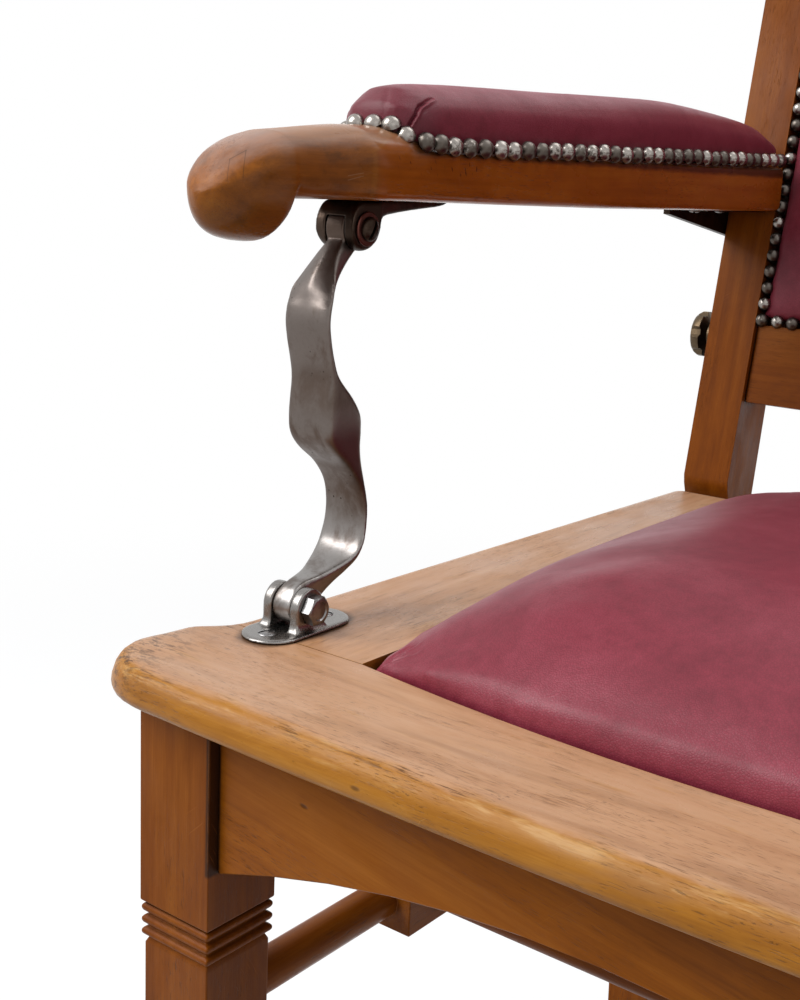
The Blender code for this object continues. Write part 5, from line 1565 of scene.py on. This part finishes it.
# %% Pleats
FADE_START, FADE_RUN = 0.06, 0.88    # a fold runs out towards its ends


def pleats(piece, paths, width=0.0008, depth=0.0018, lip=0.0009):
    """Press folds into the leather along paths: a groove with a raised lip on one side of each."""
    bm = bmesh.new()
    bm.from_mesh(piece.data)
    surface = BVHTree.FromBMesh(bm)
    lines = [[surface.find_nearest(point)[0] for point in through(path, 10)] for path in paths]
    marks = [(line, i) for line in lines for i in range(len(line))]
    tree = KDTree(len(marks))
    for number, (line, i) in enumerate(marks):
        tree.insert(line[i], number)
    tree.balance()
    for reach in (9 * width, 6 * width):
        close = [e for e in bm.edges
                 if tree.find((e.verts[0].co + e.verts[1].co) / 2)[2] < reach]
        bmesh.ops.subdivide_edges(bm, edges=close, cuts=1, use_grid_fill=True, smooth=0.4)
    bm.normal_update()
    moves = []
    for vert in bm.verts:
        point, number, away = tree.find(vert.co)
        if away < 7 * width:
            line, i = marks[number]
            run = (line[min(i + 1, len(line) - 1)] - line[max(i - 1, 0)]).normalized()
            fade = sin(pi * (FADE_START + FADE_RUN * i / (len(line) - 1))) ** 0.7
            push = -depth * exp(-((away / width) ** 2))
            if run.cross(vert.normal).dot(vert.co - point) > 0:
                push += lip * exp(-(((away - 1.7 * width) / (1.2 * width)) ** 2))
            moves.append((vert, vert.normal * push * fade))
    for vert, move in moves:
        vert.co += move
    bm.to_mesh(piece.data)
    bm.free()
    piece.data.shade_smooth()


print("pleating tool ready")

# %% [markdown]
# ## Seat cushion
# The seat is a drop-in cushion: a board covered with horsehair and leather that sits in the frame's
# opening. Its front edge is bowed like the seat, its crown is low and broad, and the leather dives
# steeply into the gap at the edges. Three short folds at each corner take up the spare leather.

# %% Seat cushion
PAD_BOW = 0.0135
PAD_RIM, PAD_CROWN = 0.0195, 0.0385
PAD_OVER = 0.0018          # the leather is this much wider than its board, on each side
PAD_HELD = 0.010
FOLD_ANGLES, FOLD_RISE = (24, 47, 70), 0.35
FOLD_STEPS = (0.001, 0.007, 0.013, 0.019)
pad_low, pad_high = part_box("seat_pad")


def seat_shape(a, b, c):
    x = a * (pad_high.x + PAD_OVER) * (1 - 0.008 * (1 - b * b))
    front = pad_low.y + PAD_BOW * (x / pad_high.x) ** 2
    y = front + (pad_high.y - front) * (b + 1) / 2
    rim = PAD_RIM * (1 - 0.66 * (a * b) ** 6)        # the leather is pulled down at the corners
    z = pad_low.z + (c + 1) / 2 * (rim + PAD_CROWN * dome(a, b, 6.5, 1.6))
    return x, y, z


def seat_held(point):
    return point[2] < pad_low.z + PAD_HELD


seat = cushion("seat_cushion", seat_shape, seat_held, 0.0055, 0.0040, 4.0, 30)
corner_folds = []
for way in (-1, 1):
    for corner_y, inward in ((pad_low.y + PAD_BOW, 1), (pad_high.y, -1)):
        corner = Vector((way * pad_high.x, corner_y, pad_low.z + 0.012))
        for angle in FOLD_ANGLES:
            run = Vector((-way * cos(radians(angle)), inward * sin(radians(angle)), FOLD_RISE))
            corner_folds.append([corner + run * step for step in FOLD_STEPS])
pleats(seat, corner_folds, 0.0011, 0.0010, 0.0006)
pad_done(seat, "root", "seat_pad")
print("seat cushion:", len(seat.data.polygons), "faces,", len(corner_folds), "folds")

# %% [markdown]
# ## Arm cushions
# The arm cushions are long rolls, blunt and round in front, nailed down along both sides. The
# leather is gathered into a pleat on each side of the nose, and a shallow dent runs down between
# them. One cushion is stuffed and the other is its mirror image, so the pair matches and only one
# has to be simulated.

# %% Arm cushions
ROLL_HALF = 0.0235
ROLL_FRONT = -0.2040       # front of the leather, just behind the nails
ROLL_NOSE, ROLL_PUFF = 0.022, 0.002
ROLL_HELD = 0.005
ROLL_TOP = (               # behind the front, height of the leather over the wood
    (0.000, 0.0205), (0.0015, 0.0236), (0.004, 0.0260), (0.008, 0.0278), (0.013, 0.0290),
    (0.025, 0.0304), (0.0365, 0.0307), (0.0525, 0.0314), (0.105, 0.0324), (0.1435, 0.0331),
    (0.1855, 0.0343), (0.2305, 0.0354), (0.268, 0.0360), (0.295, 0.0353), (0.325, 0.0337),
    (0.370, 0.0306), (0.398, 0.0270), (0.411, 0.0200),
)
FOLD = (                   # across from the middle, y, z
    (0.0171, -0.1809, 0.7454), (0.0166, -0.1869, 0.7428), (0.0161, -0.1905, 0.7405),
    (0.0161, -0.1935, 0.7375), (0.0165, -0.1960, 0.7335), (0.0170, -0.1970, 0.7310),
)
DENT = ((0.0018, -0.1930, 0.7500), (0.0055, -0.1977, 0.7451), (0.0081, -0.2010, 0.7383))
roll_line = through([(*row, 0.0) for row in ROLL_TOP], 6)
roll_backs, roll_rises = [p.x for p in roll_line], [p.y for p in roll_line]
roll_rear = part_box("left_arm_pad")[1].y


def wood_top(y):
    """Height of the flat wood under an arm cushion."""
    return ARM_UNDER + wood_rise(y - arm_low.y)


def roll_shape(a, b, c):
    depth = ROLL_NOSE + ROLL_PUFF * (c + 1) / 2
    nose = depth * (1 - (1 - 0.98 * abs(a) ** 2.5) ** 0.4) * (1 - b) / 2
    y = ROLL_FRONT + (roll_rear - ROLL_FRONT) * (b + 1) / 2 + nose
    tall = float(np.interp(y - ROLL_FRONT - nose, roll_backs, roll_rises)) - 0.0010
    slope = 0.42 - 0.14 * exp(-(y - ROLL_FRONT) / 0.022)      # fuller at the nose
    z = wood_top(y) + 0.0003 + (c + 1) / 2 * tall * (1 - slope * abs(a) ** 2.6)
    waist = 1 - 0.09 * ((1 - c) / 2) ** 2
    return -arm_middle + a * ROLL_HALF * waist, y, z


def roll_held(point):
    return point[2] < wood_top(point[1]) + ROLL_HELD


def on_left_arm(path, way=1):
    return [(-arm_middle + way * across, y, z) for across, y, z in path]


roll = cushion("left_arm_cushion", roll_shape, roll_held, 0.0028, 0.0030, 16.0, 40)
pleats(roll, [on_left_arm(FOLD[::-way], way) for way in (1, -1)])
pleats(roll, [on_left_arm(DENT)], 0.0016, 0.0004, 0.0)
twin_mesh = roll.data.copy()
twin_points = vertex_array(twin_mesh)
twin_points[:, 0] *= -1
move_vertices(twin_mesh, twin_points)
twin_mesh.flip_normals()
twin = in_scene(bpy.data.objects.new("right_arm_cushion", twin_mesh))
pad_done(roll, "left_armrest", "left_arm_pad")
pad_done(twin, "right_armrest", "right_arm_pad")
print("arm cushions:", len(twin_mesh.polygons), "faces each")

# %% [markdown]
# ## Back cushion and headrest cushion
# The back is padded between its stiles and rails, and the headrest is a small thick block. Both
# are shaped in their own upright frames, with y' to the rear and z' along the stile, and then set
# into the leaning back by a matrix.

# %% Back and headrest cushions
BACK_HALF, BACK_LOW, BACK_HIGH = 0.1872, 0.1083, 0.4367
BACK_FACE, BACK_RIM, BACK_CROWN, BACK_HELD = -0.0126, 0.0165, 0.0195, 0.011
HEAD_AT = Vector((0.0, 0.333178, 1.121625))      # the headrest's own middle
HEAD_HALF, HEAD_RISE, HEAD_FACE, HEAD_DEPTH = 0.129, 0.059, -0.0416, 0.042
HEAD_SWELL, HEAD_HELD = 0.003, 0.009
rear_axis = Vector((0.0, lean.z, -lean.y))
leaning = Matrix((Vector((1, 0, 0)), rear_axis, lean)).transposed()
back_frame = Matrix.Translation(joint_at["recline"]) @ leaning.to_4x4()
head_frame = Matrix.Translation(HEAD_AT) @ leaning.to_4x4()
into_back, into_head = back_frame.inverted(), head_frame.inverted()


def back_shape(a, c, b):
    x = a * BACK_HALF * (1 - 0.012 * (1 - b * b))
    tall = (BACK_HIGH - BACK_LOW) / 2 * (1 - 0.012 * (1 - a * a))
    y = BACK_FACE - (1 - c) / 2 * (BACK_RIM + BACK_CROWN * dome(a, b, 3))
    return back_frame @ Vector((x, y, (BACK_LOW + BACK_HIGH) / 2 + b * tall))


def head_shape(a, c, b):
    x = a * HEAD_HALF * (1 - 0.015 * (1 - b * b))
    z = b * HEAD_RISE * (1 - 0.03 * (1 - a * a))
    y = HEAD_FACE - (1 - c) / 2 * (HEAD_DEPTH - HEAD_SWELL) * (0.45 + 0.55 * dome(a, b, 4))
    return head_frame @ Vector((x, y, z))


def back_held(point):
    return (into_back @ Vector(point)).y > BACK_FACE - BACK_HELD


def head_held(point):
    return (into_head @ Vector(point)).y > HEAD_FACE - HEAD_HELD


back_cushion = cushion("back_cushion", back_shape, back_held, 0.0055, 0.004, 4.0, 24)
pad_done(back_cushion, "back", "back_pad")
head_cushion = cushion("head_cushion", head_shape, head_held, 0.0045, HEAD_SWELL, 4.0, 16)
pad_done(head_cushion, "headrest", "headrest_cushion")
print("faces:", {p.name: len(p.data.polygons) for p in (back_cushion, head_cushion)})

# %% [markdown]
# ## Nails
# Rows of domed nails hold the leather down, set so close that they touch. Blender could scatter
# instances along a curve, but instances don't carry a number of their own into a plain mesh. A
# short loop copies one dome for each nail, turns it to face outwards with a little unsteadiness,
# and writes how much plate is left on it.

# %% Nail rows
NAIL_RADIUS, NAIL_HEIGHT, NAIL_PITCH = 0.0048, 0.0046, 0.0114
NAIL_RINGS, NAIL_POINTS = 5, 14
NAIL_TILT, NAIL_SHIFT, NAIL_CHANCE = 0.07, 0.0002, 0.06
nail_circle = [(cos(2 * pi * i / NAIL_POINTS), sin(2 * pi * i / NAIL_POINTS))
               for i in range(NAIL_POINTS)]


def nail_row(name, spots, body, shares=None):
    """Nails at (place, outward) spots, as one piece; shares says how much plate each has left."""
    bm = bmesh.new()
    plate_left = bm.verts.layers.float.new("plate_left")
    for number, (place, outward) in enumerate(spots):
        wobble = Vector((dice.gauss(0, 1), dice.gauss(0, 1), dice.gauss(0, 1)))
        facing = (Vector(outward).normalized() + NAIL_TILT * wobble).normalized()
        seat_at = Matrix.Translation(Vector(place) + NAIL_SHIFT * wobble) @ towards(facing).to_4x4()
        left = shares[number % len(shares)] if shares else dice.choice((0.1, 0.3, 0.6, 0.8))
        left = min(1.0, max(0.0, left + dice.gauss(0, NAIL_CHANCE)))
        loops = []
        for r in range(NAIL_RINGS):
            swing = 0.5 * pi * r / NAIL_RINGS
            wide, z = NAIL_RADIUS * cos(swing), NAIL_HEIGHT * sin(swing)
            loops.append([bm.verts.new(seat_at @ Vector((wide * c, wide * s, z)))
                          for c, s in nail_circle])
        crown = bm.verts.new(seat_at @ Vector((0, 0, NAIL_HEIGHT)))
        for vert in [crown, *(v for loop in loops for v in loop)]:
            vert[plate_left] = left
        walls(bm, loops)
        for i in range(NAIL_POINTS):
            bm.faces.new((loops[-1][i - 1], loops[-1][i], crown))
        bm.faces.new(loops[0])
    return mount(new_piece(name, bm, nail_plate, 60.0), body, "worn_nickel")


def spaced(start, end, pitch=NAIL_PITCH):
    """Points from start to end, as near to the pitch as a whole number allows."""
    start, end = Vector(start), Vector(end)
    count = max(1, round((end - start).length / pitch))
    return [start.lerp(end, i / count) for i in range(count + 1)]


print("nails: %.1f mm across" % (2000 * NAIL_RADIUS))

# %% [markdown]
# ## Nails on the arms
# Along an arm the nails stand in two straight rows, low on the sides of the wood. Round the nose
# they climb over the domed neck, wider apart than elsewhere, and the bright and the bare ones
# follow each other as they do on the old chair, so their shares of plate are listed.

# %% Arm nails
ARM_NAIL_PITCH = 0.0127
SIDE_RISE, SIDE_CLIMB = 0.0012, 0.0030      # over the wood in front, and more towards the rear
NOSE_FRONT, NOSE_DEPTH, NOSE_GAP, REAR_GAP = -0.2050, 0.024, 0.0085, 0.008
NOSE_WRAP, NAIL_BITE = 0.985, 0.0004
NOSE_NAILS = (             # turn round the nose from its front towards the chair, plate left
    (-82, 0.3), (-60, 0.5), (-38, 0.6), (-17, 0.85), (8, 0.75), (28, 0.70), (44, 0.90),
    (65, 0.25), (85, 0.12),
)
NOSE_RISE = ((0, 0.7345), (17, 0.7344), (28, 0.7335), (44, 0.7293), (65, 0.7267), (90, 0.7262))
SIDE_SHARES = (
    0.25, 0.12, 0.72, 0.35, 0.15, 0.75, 0.68, 0.22, 0.20, 0.80, 0.70, 0.35, 0.48, 0.70, 0.22, 0.72,
    0.12, 0.68, 0.72, 0.18, 0.40,
)


def arm_nails(side):
    x, inner = SIDES[side] * arm_middle, -SIDES[side]
    start, end = NOSE_FRONT + NOSE_DEPTH + NOSE_GAP, arm_low.y + arm_length - REAR_GAP
    spots, shares = [], []
    for way in (-1, 1):
        row = spaced((0, start, 0), (0, end, 0), ARM_NAIL_PITCH)
        for i, spot in enumerate(row):
            rise = SIDE_RISE + SIDE_CLIMB * i / len(row)
            spots.append(((x + way * ARM_HALF, spot.y, wood_top(spot.y) + rise), (way, 0, 0.2)))
            shares.append(SIDE_SHARES[(i + 2) % len(SIDE_SHARES)])
    for turn, left in NOSE_NAILS:
        swing, ahead = sin(radians(turn)), cos(radians(turn))
        across = NOSE_WRAP * ARM_HALF * swing
        y = NOSE_FRONT + NOSE_DEPTH * (1 - ahead)
        rise = float(np.interp(abs(turn), *zip(*NOSE_RISE)))
        spot = (x + inner * across, y, max(rise, wood_at(across, y) - NAIL_BITE))
        spots.append((spot, (inner * 1.6 * swing**3, -0.45 * ahead, 1 - 0.8 * abs(swing) ** 3)))
        shares.append(left)
    return nail_row(f"{side}_arm_nails", spots, f"{side}_armrest", shares)


arm_rows = [arm_nails(side) for side in SIDES]
print("arm nails:", [row.name for row in arm_rows])

# %% [markdown]
# ## Nails on the back and the headrest
# One row runs round the edge of the back cushion, and four short rows go round the sides of the
# headrest cushion. Four screws hold the headrest's bracket to its board.

# %% Back and headrest nails
BACK_NAIL_OUT, BACK_NAIL_Y = 0.0005, -0.0262
HEAD_NAIL_Y, HEAD_NAIL_END = HEAD_FACE - 0.006, 0.008
HEAD_SCREW_X, HEAD_SCREW_Y, HEAD_SCREW_Z = 0.022, -0.028, 0.017

edge = BACK_HALF + BACK_NAIL_OUT
corners = [back_frame @ Vector((x, BACK_NAIL_Y, z)) for x, z in (
    (-edge, BACK_LOW), (edge, BACK_LOW), (edge, BACK_HIGH), (-edge, BACK_HIGH))]
back_spots = []
for start, end in zip(corners, corners[1:] + corners[:1]):
    back_spots += [(spot, -rear_axis) for spot in spaced(start, end)[:-1]]
back_row = nail_row("back_nails", back_spots, "back")

head_spots = []
reach, rise = HEAD_HALF - HEAD_NAIL_END, HEAD_RISE - HEAD_NAIL_END
for way in (-1, 1):
    x, z = way * HEAD_HALF, way * HEAD_RISE
    for outward, start, end in (
        (Vector((way, 0, 0)), (x, HEAD_NAIL_Y, -rise), (x, HEAD_NAIL_Y, rise)),
        (Vector((0, 0, way)), (-reach, HEAD_NAIL_Y, z), (reach, HEAD_NAIL_Y, z)),
    ):
        head_spots += [(head_frame @ spot, leaning @ outward) for spot in spaced(start, end)]
head_row = nail_row("headrest_nails", head_spots, "headrest")

plate_corners = [Vector((x, HEAD_SCREW_Y, z)) for x in (-HEAD_SCREW_X, HEAD_SCREW_X)
                 for z in (-HEAD_SCREW_Z, HEAD_SCREW_Z)]
head_screws = [anyhow(head_frame @ spot, rear_axis) for spot in plate_corners]
screws("headrest_screws", head_screws, "headrest", *SMALL_SCREW)
per_nail = NAIL_RINGS * NAIL_POINTS + 1
all_rows = (*arm_rows, back_row, head_row)
print("nails:", sum(len(row.data.vertices) // per_nail for row in all_rows))

# %% [markdown]
# ## Iron and nickel that keep their own shape
# Plates, pivots, knobs and the headrest's hardware stay as they come, with a fine eased edge and a
# metal finish. The edge is narrower than on wood, because filed metal keeps a crisper corner.

# %% Dress the metal solids
METAL_EDGE = 0.0005
METAL_NODES = {
    "headrest_guide": bright_nickel, "headrest_post": bright_nickel, "headrest_bracket": browned,
    "headrest_pin": steel, "headrest_screw": bronze,
}
for side in SIDES:
    METAL_NODES.update({
        f"{side}_back_plate": browned, f"{side}_back_pivot": steel,
        f"{side}_arm_rear_bracket": browned, f"{side}_arm_pivot": steel,
        f"{side}_clamp_knob": bronze,
    })
for name, material in METAL_NODES.items():
    soften(name, material, METAL_EDGE)
print("dressed", len(METAL_NODES), "metal solids")
